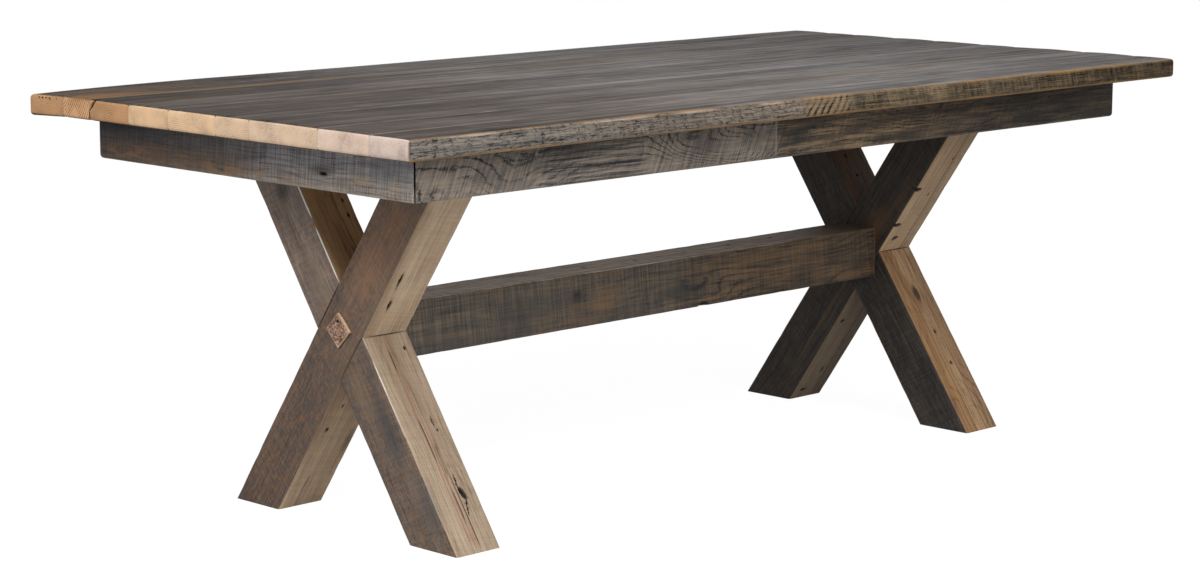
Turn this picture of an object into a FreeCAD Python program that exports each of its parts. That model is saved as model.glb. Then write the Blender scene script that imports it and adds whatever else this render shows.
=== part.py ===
import FreeCAD, Part
import os
from math import cos, pi, radians, sin, sqrt, tan

from FreeCAD import Placement, Rotation, Vector

# Sawbuck dining table of reclaimed timber.
# Nine glued planks lie on a mitred apron frame and three cross members. Two cross-lapped
# trestles carry them, and a square stretcher is drawn up between the trestles by a bolt at each end.
# Lengths are millimetres. The origin is on the floor under the middle of the table, +X runs along
# the planks, +Y across them to the far side, and +Z is up.

# Plank top, from the far side to the near side
TABLE_HEIGHT = 778.0
TOP_LENGTH = 2134.0
TOP_THICKNESS = 39.0
PLANK_WIDTHS = (108.0, 79.0, 119.0, 116.0, 132.0, 92.0, 181.0, 129.0, 98.0)
TOP_RIM_RADIUS = 6.0
UNDER_RIM_RADIUS = 5.0
SEAM_EASE = 1.2

# Apron frame under the top, mitred at its corners
END_OVERHANG = 87.0
SIDE_OVERHANG = 87.0
APRON_HEIGHT = 83.0
APRON_THICKNESS = 25.0
APRON_CORNER_RADIUS = 7.0
APRON_EDGE_RADIUS = 4.0
CORNER_BLOCK_SIDE = 45.0
CORNER_BLOCK_HEIGHT = 62.0
CORNER_BLOCK_CHAMFER = 12.0

# Cross members under the planks: one cleat over each trestle and one batten between them
CROSS_THICKNESS = 20.0
CLEAT_WIDTH = 150.0
BATTEN_WIDTH = 90.0

# Trestles: square timbers that cross halfway up and are lapped into each other
TIMBER = 105.0
LEG_LEAN = 34.5
TRESTLE_INSET = 292.0
TIMBER_EDGE_RADIUS = 3.5
LAP_CLEARANCE = 0.15

# Stretcher between the trestles, its middle a little below their crossing, with a stub tenon at
# each end that stops it from turning
STRETCHER_HEIGHT = 105.0
STRETCHER_WIDTH = 105.0
STRETCHER_DROP = 2.5
TENON_HEIGHT = 60.0
TENON_WIDTH = 50.0
TENON_DEPTH = 12.0

# Square peg turned on its corner, which covers the bolt head a little above the crossing
PEG_SIDE = 47.0
PEG_RISE = 5.0
PEG_DEPTH = 18.0
PEG_PROUD = 5.0
PEG_CHAMFER = 1.8

# Draw bolt, its square plate washer behind the peg, and the square nut in a pocket of the stretcher
BOLT_DIAMETER = 12.0
BOLT_HEAD_FLATS = 19.0
BOLT_HEAD_HEIGHT = 8.0
BOLT_TIP = 6.0
WASHER_SIDE = 46.0
WASHER_THICKNESS = 4.0
HEAD_ROOM = 0.5
NUT_SIDE = 22.0
NUT_THICKNESS = 11.0
NUT_SETBACK = 60.0
NUT_ROOM = 8.0

# Lag screws down through the cleats into the leg tops
LAG_DIAMETER = 9.5
LAG_GRIP = 55.0
LAG_HEAD_FLATS = 14.0
LAG_HEAD_HEIGHT = 6.5
LAG_RECESS_DIAMETER = 22.0
LAG_INSET = 15.0

# Hexagon-head screws up through the cross members into the planks, loose in their holes so that
# the glued top can swell and shrink
SCREW_DIAMETER = 6.0
SCREW_HEAD_FLATS = 10.0
SCREW_HEAD_HEIGHT = 4.0
SCREW_GRIP = 22.0
SCREW_EDGE_DISTANCE = 12.5
SCREW_END_DISTANCE = 60.0

# Fits, as the gap all round
PEG_FIT = 0.15
TENON_FIT = 0.2
BORE_FIT = 0.1
BOLT_FIT = 0.5
SLIP_FIT = 0.8

# Sizes that follow from those above
TOP_WIDTH = sum(PLANK_WIDTHS)
UNDERSIDE = TABLE_HEIGHT - TOP_THICKNESS
APRON_LENGTH = TOP_LENGTH - 2 * END_OVERHANG
APRON_WIDTH = TOP_WIDTH - 2 * SIDE_OVERHANG
APRON_BOTTOM = UNDERSIDE - APRON_HEIGHT
CROSS_BOTTOM = UNDERSIDE - CROSS_THICKNESS
CROSS_LENGTH = APRON_WIDTH - 2 * APRON_THICKNESS
CROSSING_HEIGHT = CROSS_BOTTOM / 2
JOINT_HEIGHT = CROSSING_HEIGHT + PEG_RISE
STRETCHER_BOTTOM = CROSSING_HEIGHT - STRETCHER_DROP - STRETCHER_HEIGHT / 2
LEAN_SLOPE = tan(radians(LEG_LEAN))
LEG_HALF_WIDTH = TIMBER / 2 / cos(radians(LEG_LEAN))
TRESTLE_OUTER = TOP_LENGTH / 2 - TRESTLE_INSET
TRESTLE_INNER = TRESTLE_OUTER - TIMBER
WASHER_SEAT = PEG_DEPTH + HEAD_ROOM + BOLT_HEAD_HEIGHT + WASHER_THICKNESS
NUT_DEPTH = TIMBER + NUT_SETBACK
BOLT_END = NUT_DEPTH + NUT_THICKNESS + BOLT_TIP
ALONG_X, ALONG_Y, UP = Vector(1, 0, 0), Vector(0, 1, 0), Vector(0, 0, 1)
SIDES = {"left": -1, "right": 1}
FACES = {"near": -1, "far": 1}


def box(low, high):
    """Return the box between two corners."""
    return Part.makeBox(*(b - a for a, b in zip(low, high)), Vector(*low))


def centred_box(length, width, bottom, top):
    """Return a box about the Z axis, between two heights."""
    return box((-length / 2, -width / 2, bottom), (length / 2, width / 2, top))


def prism(corners, travel):
    """Return the solid that a flat polygon sweeps along a vector."""
    loop = [Vector(*corner) for corner in corners]
    return Part.Face(Part.makePolygon(loop + loop[:1])).extrude(travel)


def hexagon(across_flats, bottom, top):
    """Return a hexagonal prism about the Z axis, between two heights."""
    radius = across_flats / 2 / cos(pi / 6)
    ring = [(radius * cos(k * pi / 3), radius * sin(k * pi / 3), bottom) for k in range(6)]
    return prism(ring, UP * (top - bottom))


def hexagon_head(across_flats, height, diameter, length):
    """Return a bolt or screw along +Z, with the face under its hexagon head at the origin."""
    head = hexagon(across_flats, -height, 0)
    return head.fuse(Part.makeCylinder(diameter / 2, length)).removeSplitter()


def stand(solid, start, axis):
    """Return a solid modelled along +Z, moved to a start point and turned to an axis."""
    placed = solid.copy()
    placed.Placement = Placement(Vector(*start), Rotation(UP, axis))
    return placed


def rod(start, axis, diameter, length):
    """Return a round bar, or the tool for a bore, from a start point along an axis."""
    return Part.makeCylinder(diameter / 2, length, Vector(*start), axis)


def edges_along(solid, direction):
    """Return the straight edges of a solid that run along a direction."""
    straight = [edge for edge in solid.Edges if isinstance(edge.Curve, Part.Line)]
    return [edge for edge in straight if abs(edge.Curve.Direction.dot(direction)) > 0.999]


def rim_edges(solid, height):
    """Return the edges of a solid that lie wholly at one height."""
    return [edge for edge in solid.Edges if all(abs(v.Z - height) < 1e-6 for v in edge.Vertexes)]


def drilled(solid, tools):
    """Return a solid with every tool cut from it."""
    return solid.cut(Part.makeCompound(tools)) if tools else solid


def plank_bands():
    """Return the low and high Y of every plank, from the far side to the near side."""
    bands = []
    high = TOP_WIDTH / 2
    for width in PLANK_WIDTHS:
        bands.append((high - width, high))
        high -= width
    return bands


def cross_members():
    """Return the middle X and the width of the two cleats and of the batten between them."""
    cleat_middle = TRESTLE_OUTER - TIMBER / 2
    return {
        "left_cleat": (-cleat_middle, CLEAT_WIDTH),
        "centre_batten": (0.0, BATTEN_WIDTH),
        "right_cleat": (cleat_middle, CLEAT_WIDTH),
    }


def screw_places():
    """Return where the screws enter: near the four corners of a cleat and at both ends of the batten."""
    across = CROSS_LENGTH / 2 - SCREW_END_DISTANCE
    places = []
    for name, (middle, width) in cross_members().items():
        offset = width / 2 - SCREW_EDGE_DISTANCE
        rows = (middle,) if name == "centre_batten" else (middle - offset, middle + offset)
        places += [(row, face * across) for row in rows for face in FACES.values()]
    return places


def lag_places():
    """Return where the lag screws go down through the cleats, one to a leg top."""
    top_offset = (CROSS_BOTTOM - CROSSING_HEIGHT) * LEAN_SLOPE - LAG_INSET
    middle = TRESTLE_OUTER - TIMBER / 2
    return [(side * middle, face * top_offset) for side in SIDES.values() for face in FACES.values()]


def plank_top():
    """Return the planks: one worn slab sawn along its seams, each seam eased to a shallow groove."""
    slab = centred_box(TOP_LENGTH, TOP_WIDTH, UNDERSIDE, TABLE_HEIGHT)
    slab = slab.makeFillet(UNDER_RIM_RADIUS, rim_edges(slab, UNDERSIDE))
    slab = slab.makeFillet(TOP_RIM_RADIUS, rim_edges(slab, TABLE_HEIGHT))
    bands = plank_bands()
    length = ALONG_X * TOP_LENGTH
    start = -TOP_LENGTH / 2
    grooves = [
        prism(((start, seam - SEAM_EASE, TABLE_HEIGHT), (start, seam + SEAM_EASE, TABLE_HEIGHT),
               (start, seam, TABLE_HEIGHT - SEAM_EASE)), length)
        for seam, _ in bands[:-1]
    ]
    pilots = [
        rod((x, y, UNDERSIDE), UP, SCREW_DIAMETER + 2 * BORE_FIT, SCREW_GRIP)
        for x, y in screw_places()
    ]
    half = TOP_LENGTH / 2
    planks = {}
    for number, (low, high) in enumerate(bands, start=1):
        strip = slab.common(box((-half, low, UNDERSIDE), (half, high, TABLE_HEIGHT)))
        planks[f"top_plank_{number}"] = drilled(strip, grooves + pilots)
    return planks


def apron_frame():
    """Return the four apron boards, mitred at the corners, and the block glued into each corner."""
    ring = centred_box(APRON_LENGTH, APRON_WIDTH, APRON_BOTTOM, UNDERSIDE)
    ring = ring.makeFillet(APRON_CORNER_RADIUS, edges_along(ring, UP))
    ring = ring.makeFillet(APRON_EDGE_RADIUS, rim_edges(ring, APRON_BOTTOM))
    inner_x = APRON_LENGTH / 2 - APRON_THICKNESS
    inner_y = APRON_WIDTH / 2 - APRON_THICKNESS
    ring = ring.cut(centred_box(2 * inner_x, 2 * inner_y, APRON_BOTTOM, UNDERSIDE))
    outer_x, outer_y = APRON_LENGTH / 2, APRON_WIDTH / 2
    rise = UP * APRON_HEIGHT
    pieces = {}
    for name, face in FACES.items():
        board = prism(((-outer_x, face * outer_y, APRON_BOTTOM), (outer_x, face * outer_y, APRON_BOTTOM),
                       (inner_x, face * inner_y, APRON_BOTTOM), (-inner_x, face * inner_y, APRON_BOTTOM)), rise)
        pieces[f"apron_{name}_side"] = ring.common(board)
    for name, side in SIDES.items():
        board = prism(((side * outer_x, -outer_y, APRON_BOTTOM), (side * outer_x, outer_y, APRON_BOTTOM),
                       (side * inner_x, inner_y, APRON_BOTTOM), (side * inner_x, -inner_y, APRON_BOTTOM)), rise)
        pieces[f"apron_{name}_end"] = ring.common(board)
    for end, side in SIDES.items():
        for name, face in FACES.items():
            pieces[f"corner_block_{end}_{name}"] = corner_block(side, face)
    return pieces


def corner_block(side, face):
    """Return one corner block, its free upright corner cut back."""
    bottom = UNDERSIDE - CORNER_BLOCK_HEIGHT
    x, y = side * (APRON_LENGTH / 2 - APRON_THICKNESS), face * (APRON_WIDTH / 2 - APRON_THICKNESS)
    free_x, free_y = x - side * CORNER_BLOCK_SIDE, y - face * CORNER_BLOCK_SIDE
    outline = (
        (x, y, bottom),
        (free_x, y, bottom),
        (free_x, free_y + face * CORNER_BLOCK_CHAMFER, bottom),
        (free_x + side * CORNER_BLOCK_CHAMFER, free_y, bottom),
        (x, free_y, bottom),
    )
    return prism(outline, UP * CORNER_BLOCK_HEIGHT)


def cross_boards():
    """Return the two cleats and the batten, bored for the screws and, over the legs, for the lags."""
    bores = [
        rod((x, y, CROSS_BOTTOM), UP, SCREW_DIAMETER + 2 * SLIP_FIT, CROSS_THICKNESS)
        for x, y in screw_places()
    ]
    for x, y in lag_places():
        bores.append(rod((x, y, CROSS_BOTTOM), UP, LAG_DIAMETER + 2 * BORE_FIT, CROSS_THICKNESS))
        bores.append(rod((x, y, UNDERSIDE), -UP, LAG_RECESS_DIAMETER, LAG_HEAD_HEIGHT))
    boards = {}
    for name, (middle, width) in cross_members().items():
        board = box((middle - width / 2, -CROSS_LENGTH / 2, CROSS_BOTTOM),
                    (middle + width / 2, CROSS_LENGTH / 2, UNDERSIDE))
        boards[name] = drilled(board, bores)
    return boards


def leg_prism(x_low, x_high, face, half_width):
    """Return a leaning timber between two X values, with its top towards one face of the table."""
    top_y = face * (CROSS_BOTTOM - CROSSING_HEIGHT) * LEAN_SLOPE
    foot_y = -face * CROSSING_HEIGHT * LEAN_SLOPE
    outline = (
        (x_low, foot_y - half_width, 0),
        (x_low, foot_y + half_width, 0),
        (x_low, top_y + half_width, CROSS_BOTTOM),
        (x_low, top_y - half_width, CROSS_BOTTOM),
    )
    return prism(outline, ALONG_X * (x_high - x_low))


def trestle(side):
    """Return one trestle's two legs, half-lapped where they cross and cut for the peg and bolt.

    The leg whose top is on the near side keeps its -X half at the crossing, the other its +X half.
    """
    middle = side * (TRESTLE_OUTER - TIMBER / 2)
    low, high = middle - TIMBER / 2, middle + TIMBER / 2
    lap_half_width = LEG_HALF_WIDTH + LAP_CLEARANCE / cos(radians(LEG_LEAN))
    cuts = [
        square_on_corner(side, PEG_SIDE + 2 * PEG_FIT, 0, WASHER_SEAT),
        bolt_bore(side),
        tenon(side, TENON_FIT),
    ]
    cuts += [
        rod((x, y, CROSS_BOTTOM), -UP, LAG_DIAMETER + 2 * BORE_FIT, LAG_GRIP)
        for x, y in lag_places()
    ]
    laps = {"near": (middle, high), "far": (low, middle)}
    legs = {}
    for name, face in FACES.items():
        leg = leg_prism(low, high, face, LEG_HALF_WIDTH)
        run = Vector(0, face * sin(radians(LEG_LEAN)), cos(radians(LEG_LEAN)))
        leg = leg.makeFillet(TIMBER_EDGE_RADIUS, edges_along(leg, run))
        lap = leg_prism(*laps[name], -face, lap_half_width)
        legs[name] = drilled(leg, [lap] + cuts)
    return legs


def inward(side, depth):
    """Return the point on the joint's centre line at a depth below the trestle's outer face."""
    return side * (TRESTLE_OUTER - depth), 0.0, JOINT_HEIGHT


def square_on_corner(side, width, start_depth, end_depth):
    """Return a square bar on the joint's centre line, turned to stand on its corner."""
    reach = width / sqrt(2)
    bar = prism(((reach, 0, 0), (0, reach, 0), (-reach, 0, 0), (0, -reach, 0)), UP * (end_depth - start_depth))
    return stand(bar, inward(side, start_depth), ALONG_X * -side)


def bolt_bore(side):
    """Return the bore for one draw bolt, from the trestle's outer face to past the bolt's end."""
    diameter = BOLT_DIAMETER + 2 * BOLT_FIT
    return rod(inward(side, 0), ALONG_X * -side, diameter, BOLT_END + BOLT_FIT)


def joint_box(side, start_depth, end_depth, width, low, high):
    """Return a box on the joint's centre line, between two depths and two heights off that line."""
    ends = sorted(side * (TRESTLE_OUTER - depth) for depth in (start_depth, end_depth))
    return box((ends[0], -width / 2, JOINT_HEIGHT + low), (ends[1], width / 2, JOINT_HEIGHT + high))


def tenon(side, fit):
    """Return the stub tenon at one end of the stretcher, or with a fit the mortise for it."""
    reach = TENON_HEIGHT / 2 + fit
    return joint_box(side, TIMBER - TENON_DEPTH, TIMBER, TENON_WIDTH + 2 * fit, -reach, reach)


def nut_pocket(side):
    """Return the pocket for one square nut, open on the stretcher's underside."""
    far_wall = NUT_DEPTH + NUT_THICKNESS + NUT_ROOM
    return joint_box(side, NUT_DEPTH, far_wall, NUT_SIDE + 2 * BORE_FIT,
                     STRETCHER_BOTTOM - JOINT_HEIGHT, NUT_SIDE / 2 + BORE_FIT)


def stretcher():
    """Return the square stretcher, eased along its edges, tenoned and bored at both ends."""
    top = STRETCHER_BOTTOM + STRETCHER_HEIGHT
    bar = centred_box(2 * TRESTLE_INNER, STRETCHER_WIDTH, STRETCHER_BOTTOM, top)
    bar = bar.makeFillet(TIMBER_EDGE_RADIUS, edges_along(bar, ALONG_X))
    sides = SIDES.values()
    bar = bar.fuse([tenon(side, 0) for side in sides])
    return drilled(bar, [cut(side) for side in sides for cut in (bolt_bore, nut_pocket)])


def peg(side):
    """Return the square peg, driven into its mortise and chamfered where it stands proud."""
    bar = square_on_corner(side, PEG_SIDE, -PEG_PROUD, PEG_DEPTH)
    face_x = side * (TRESTLE_OUTER + PEG_PROUD)
    rim = [edge for edge in bar.Edges if all(abs(v.X - face_x) < 1e-6 for v in edge.Vertexes)]
    return bar.makeChamfer(PEG_CHAMFER, rim)


def draw_bolt(side):
    """Return the hexagon-head bolt that runs from behind the peg to past the nut."""
    under_head = WASHER_SEAT - WASHER_THICKNESS
    bolt = hexagon_head(BOLT_HEAD_FLATS, BOLT_HEAD_HEIGHT, BOLT_DIAMETER, BOLT_END - under_head)
    return stand(bolt, inward(side, under_head), ALONG_X * -side)


def bolt_washer(side):
    """Return the square plate washer at the bottom of the peg's mortise, under the bolt head."""
    plate = square_on_corner(side, WASHER_SIDE, WASHER_SEAT - WASHER_THICKNESS, WASHER_SEAT)
    return plate.cut(bolt_bore(side))


def square_nut(side):
    """Return the square nut, drawn against the pocket's wall on the trestle's side."""
    nut = joint_box(side, NUT_DEPTH, NUT_DEPTH + NUT_THICKNESS, NUT_SIDE, -NUT_SIDE / 2, NUT_SIDE / 2)
    return nut.cut(rod(inward(side, 0), ALONG_X * -side, BOLT_DIAMETER + 2 * BORE_FIT, BOLT_END))


def top_screws():
    """Return the screws up through the cleats and the batten into the planks."""
    one = hexagon_head(SCREW_HEAD_FLATS, SCREW_HEAD_HEIGHT, SCREW_DIAMETER, CROSS_THICKNESS + SCREW_GRIP)
    return Part.makeCompound([stand(one, (x, y, CROSS_BOTTOM), UP) for x, y in screw_places()])


def leg_lag_screws():
    """Return the lag screws, their heads sunk flush into the cleats."""
    length = CROSS_THICKNESS - LAG_HEAD_HEIGHT + LAG_GRIP
    one = hexagon_head(LAG_HEAD_FLATS, LAG_HEAD_HEIGHT, LAG_DIAMETER, length)
    seat = UNDERSIDE - LAG_HEAD_HEIGHT
    return Part.makeCompound([stand(one, (x, y, seat), -UP) for x, y in lag_places()])


def pieces():
    """Return every piece of the table under its node name."""
    nodes = {}
    nodes.update(plank_top())
    nodes.update(apron_frame())
    nodes.update(cross_boards())
    for end, side in SIDES.items():
        for name, leg in trestle(side).items():
            nodes[f"{end}_leg_{name}_top"] = leg
        nodes[f"{end}_peg"] = peg(side)
        nodes[f"{end}_draw_bolt"] = draw_bolt(side)
        nodes[f"{end}_bolt_washer"] = bolt_washer(side)
        nodes[f"{end}_square_nut"] = square_nut(side)
    nodes["stretcher"] = stretcher()
    nodes["top_screws"] = top_screws()
    nodes["leg_lag_screws"] = leg_lag_screws()
    return nodes


os.makedirs("parts", exist_ok=True)
for node, shape in pieces().items():
    print(node, len(shape.Solids), "solids", round(shape.Volume / 1000.0, 1), "cm3", shape.isValid())
    shape.exportStep(f"parts/{node}.step")
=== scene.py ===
"""Looks of a reclaimed-wood sawbuck table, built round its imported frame."""
import logging
import math
from dataclasses import dataclass, field, replace
from enum import Enum
from typing import Callable, Optional, Sequence, Union

import bmesh
import bpy
from mathutils import Euler, Matrix, Quaternion, Vector, noise


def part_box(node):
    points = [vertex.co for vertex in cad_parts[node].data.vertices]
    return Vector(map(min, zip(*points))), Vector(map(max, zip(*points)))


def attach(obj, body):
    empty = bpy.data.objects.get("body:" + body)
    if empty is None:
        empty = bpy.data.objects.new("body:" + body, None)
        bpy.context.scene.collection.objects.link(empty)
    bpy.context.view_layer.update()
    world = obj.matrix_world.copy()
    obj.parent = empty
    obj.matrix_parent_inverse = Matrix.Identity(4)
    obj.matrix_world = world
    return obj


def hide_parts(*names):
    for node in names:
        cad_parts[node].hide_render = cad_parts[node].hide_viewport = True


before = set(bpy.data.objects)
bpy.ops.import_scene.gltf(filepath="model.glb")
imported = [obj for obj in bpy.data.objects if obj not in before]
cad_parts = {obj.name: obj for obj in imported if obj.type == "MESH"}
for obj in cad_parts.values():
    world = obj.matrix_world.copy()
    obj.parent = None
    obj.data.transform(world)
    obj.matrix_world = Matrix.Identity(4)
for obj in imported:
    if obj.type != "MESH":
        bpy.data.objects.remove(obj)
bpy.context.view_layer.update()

log = logging.getLogger("sawbuck_table")

Number = Union[int, float]
Value = Union["Wire", Number]
Rgb = tuple[int, int, int]
Pair = tuple[float, float]
Triple = tuple[float, float, float]

NO_SHIFT: Triple = (0.0, 0.0, 0.0)
# Lengths are in metres and angles in radians; NEARLY is the share of a half size that counts as its face.
TINY = 1e-6
HARD_EDGE = math.radians(38)
CORNER = 1.0
NEARLY = 0.99


def paint(colour: Rgb) -> tuple[float, ...]:
    """Turn a chart's colour, from 0 to 255, into the linear colour that a shader takes, with full alpha."""
    parts = (value / 255.0 for value in colour)
    return (*(p / 12.92 if p <= 0.04045 else ((p + 0.055) / 1.055) ** 2.4 for p in parts), 1.0)


def each(kind: Callable, *rows: tuple) -> tuple:
    """Return a thing of one kind for every row of its values."""
    return tuple(kind(*row) for row in rows)


def operator(operation: str, reflected: bool = False) -> Callable[..., "Wire"]:
    """Make an operator of wires that adds a Math node.

    Args:
        operation: The node's operation.
        reflected: Whether the wire comes last, as in 1 - wire.

    Returns:
        The operator.
    """
    def apply(wire: "Wire", *others: Value) -> "Wire":
        """Add the node and return its result."""
        values = (*others, wire) if reflected else (wire, *others)
        return wire.sheet.node("ShaderNodeMath", {"operation": operation}, dict(enumerate(values)))

    return apply


class Wire:
    """A node's output socket, on which arithmetic adds Math nodes."""

    __add__ = __radd__ = operator("ADD")
    __mul__ = __rmul__ = operator("MULTIPLY")
    __sub__, __rsub__ = operator("SUBTRACT"), operator("SUBTRACT", reflected=True)
    __truediv__, __pow__, __abs__ = operator("DIVIDE"), operator("POWER"), operator("ABSOLUTE")
    least, most = operator("MINIMUM"), operator("MAXIMUM")
    fraction, sine = operator("FRACT"), operator("SINE")

    def __init__(self, sheet: "Sheet", socket: bpy.types.NodeSocket) -> None:
        """Keep the socket and the sheet that it is drawn on."""
        self.sheet = sheet
        self.socket = socket

    def ease(self, low: float, high: float) -> "Wire":
        """Return a smooth step from 0 at low to 1 at high."""
        return self.sheet.node("ShaderNodeMapRange", {"interpolation_type": "SMOOTHSTEP"},
                               {"Value": self, "From Min": low, "From Max": high})

    def split(self) -> tuple["Wire", ...]:
        """Return the three parts of a vector."""
        made = self.sheet.node("ShaderNodeSeparateXYZ", {}, {0: self}).socket.node
        return tuple(Wire(self.sheet, output) for output in made.outputs)


class Sheet:
    """The node tree of one material, or of the surround."""

    def __init__(self, owner: Union[bpy.types.Material, bpy.types.World]) -> None:
        """Start with an empty tree.

        Args:
            owner: The new material or world that the nodes are for.
        """
        self.owner = owner
        owner.use_nodes = True
        self.tree = owner.node_tree
        self.tree.nodes.clear()

    @classmethod
    def new(cls, name: str) -> "Sheet":
        """Start a material of this name."""
        return cls(bpy.data.materials.new(name))

    def node(self, kind: str, settings: dict, inputs: dict, output: Union[int, str] = 0) -> Optional[Wire]:
        """Add any node.

        Args:
            kind: The node's type.
            settings: Its own settings, which are set first; stops are a colour ramp's.
            inputs: Values or wires for its sockets, by name or number.
            output: Which of its outputs to return.

        Returns:
            The chosen output, or nothing for a node that has none.
        """
        made = self.tree.nodes.new(kind)
        for key, value in settings.items():
            if key == "stops":
                self.set_stops(made.color_ramp, value)
            else:
                setattr(made, key, value)
        for key, value in inputs.items():
            if isinstance(value, Wire):
                self.tree.links.new(value.socket, made.inputs[key])
            else:
                made.inputs[key].default_value = value
        return Wire(self, made.outputs[output]) if made.outputs else None

    @staticmethod
    def set_stops(ramp: bpy.types.ColorRamp, stops: Sequence[tuple[float, Rgb]]) -> None:
        """Give a colour ramp its stops.

        Args:
            ramp: The ramp.
            stops: Places from 0 to 1, each with its colour.
        """
        while len(ramp.elements) < len(stops):
            ramp.elements.new(0.5)
        for element, (place, colour) in zip(ramp.elements, stops):
            element.position = place
            element.color = paint(colour)

    def ramp(self, factor: Wire, stops: Sequence[tuple[float, Rgb]]) -> Wire:
        """Return the colour that a ramp of stops has at a factor."""
        return self.node("ShaderNodeValToRGB", {"stops": stops}, {0: factor})

    def mix(self, factor: Value, below: Union[Wire, Rgb], above: Union[Wire, Rgb], blend: str = "MIX") -> Wire:
        """Lay one colour over another, by a factor that says how much of the upper one shows."""
        below, above = (c if isinstance(c, Wire) else paint(c) for c in (below, above))
        return self.node("ShaderNodeMix", {"data_type": "RGBA", "blend_type": blend},
                         {0: factor, 6: below, 7: above}, 2)

    def stretch(self, at: Wire, per_metre: Pair, shift: Triple = NO_SHIFT) -> Wire:
        """Return coordinates scaled along the grain and across it, then shifted."""
        along, across = per_metre
        return self.node("ShaderNodeMapping", {}, {"Vector": at, "Scale": (along, across, across), "Location": shift})

    def noise(self, at: Wire, per_metre: Pair, detail: float, rough: float = 0.55, shift: Triple = NO_SHIFT) -> Wire:
        """Add cloudy noise.

        Args:
            at: Coordinates in metres.
            per_metre: Waves to a metre along the grain and across it.
            detail: Layers of finer noise.
            rough: How strong the finer layers are.
            shift: Where in the noise to start, so that boards differ.

        Returns:
            The noise, from 0 to 1 about a half.
        """
        place = self.stretch(at, per_metre, shift)
        return self.node("ShaderNodeTexNoise", {},
                         {"Vector": place, "Scale": 1.0, "Detail": detail, "Roughness": rough})

    def near(self, at: Wire, centre: Triple, radii: Triple, turn: Triple = NO_SHIFT) -> Wire:
        """Return how far a point is from a centre, as 1 on an ellipsoid of these radii and this turn."""
        place = self.node("ShaderNodeMapping", {"vector_type": "TEXTURE"},
                          {"Vector": at, "Location": centre, "Rotation": turn, "Scale": radii})
        return self.node("ShaderNodeVectorMath", {"operation": "LENGTH"}, {0: place}, 1)

    def surface(self, inputs: dict) -> bpy.types.Material:
        """Close the sheet with a Principled surface and return the material."""
        return self.close(self.node("ShaderNodeBsdfPrincipled", {}, inputs))

    def close(self, shader: Wire) -> bpy.types.Material:
        """Join a shader to the material's output and return the material."""
        self.node("ShaderNodeOutputMaterial", {}, {"Surface": shader})
        return self.owner


class Face(Enum):
    """A face of a board, as the axis of the board that it looks along and its sign."""

    END_LOW = (0, -1)
    END_HIGH = (0, 1)
    SIDE_LOW = (1, -1)
    SIDE_HIGH = (1, 1)
    BED_LOW = (2, -1)
    BED_HIGH = (2, 1)


class End(Enum):
    """An end of the table along its length."""

    LEFT = -1
    RIGHT = 1


class Top(Enum):
    """The side of the table that a leaning leg's top is on."""

    NEAR = -1
    FAR = 1


@dataclass(frozen=True)
class Bed:
    """Where a board lies: its middle, half its length, width and depth, and its turn."""

    middle: Vector
    half: Vector
    turn: Matrix = field(default_factory=lambda: Matrix.Identity(3))

    @classmethod
    def of_node(cls, node: str) -> "Bed":
        """Return the bed of a node that lies along the table."""
        low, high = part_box(node)
        return cls((low + high) / 2, (high - low) / 2)

    @classmethod
    def of_cross_node(cls, node: str) -> "Bed":
        """Return the bed of a node that lies across the table, its grain from the far side to the near."""
        lengthwise = cls.of_node(node)
        return cls(lengthwise.middle, lengthwise.half.yxz, Matrix(((0, 1, 0), (-1, 0, 0), (0, 0, 1))))

    def matrix(self) -> Matrix:
        """Return the transform from the board's own axes to the table's."""
        return Matrix.Translation(self.middle) @ self.turn.to_4x4()

    def coordinates(self, sheet: Sheet) -> Wire:
        """Draw the board's own coordinates.

        Args:
            sheet: The sheet that the nodes go on.

        Returns:
            The coordinates in metres from the board's middle, grain first.
        """
        inverse = self.turn.transposed()
        return sheet.node("ShaderNodeMapping", {}, {
            "Vector": sheet.node("ShaderNodeTexCoord", {}, {}, "Object"),
            "Rotation": inverse.to_euler("XYZ"),
            "Location": -(inverse @ self.middle),
        })


@dataclass(frozen=True)
class Mottle:
    """A cloudy stain over a face: its colour and strength, the noise between which it comes in, and its waves."""

    colour: Rgb
    strength: float
    low: float
    high: float
    per_metre: Pair = (3.0, 9.0)


@dataclass(frozen=True)
class Tone:
    """The colours of one face and how strongly each part of the grain shows in them."""

    dark: Rgb
    mid: Rgb
    light: Rgb
    streak: float = 0.7
    fibre: float = 0.6
    ring: float = 0.2
    blotch: float = 0.5
    saw: float = 0.2
    check: float = 0.0
    kerf: float = 0.0
    hatch: float = 0.0
    mottles: tuple[Mottle, ...] = ()


@dataclass(frozen=True)
class Patch:
    """A soft stain on a board: its middle, reach, colour and strength, its solid core and how ragged it is."""

    centre: Triple
    radii: Triple
    colour: Rgb
    strength: float
    core: float = 0.1
    ragged: float = 0.9
    flecked: bool = False


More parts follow.
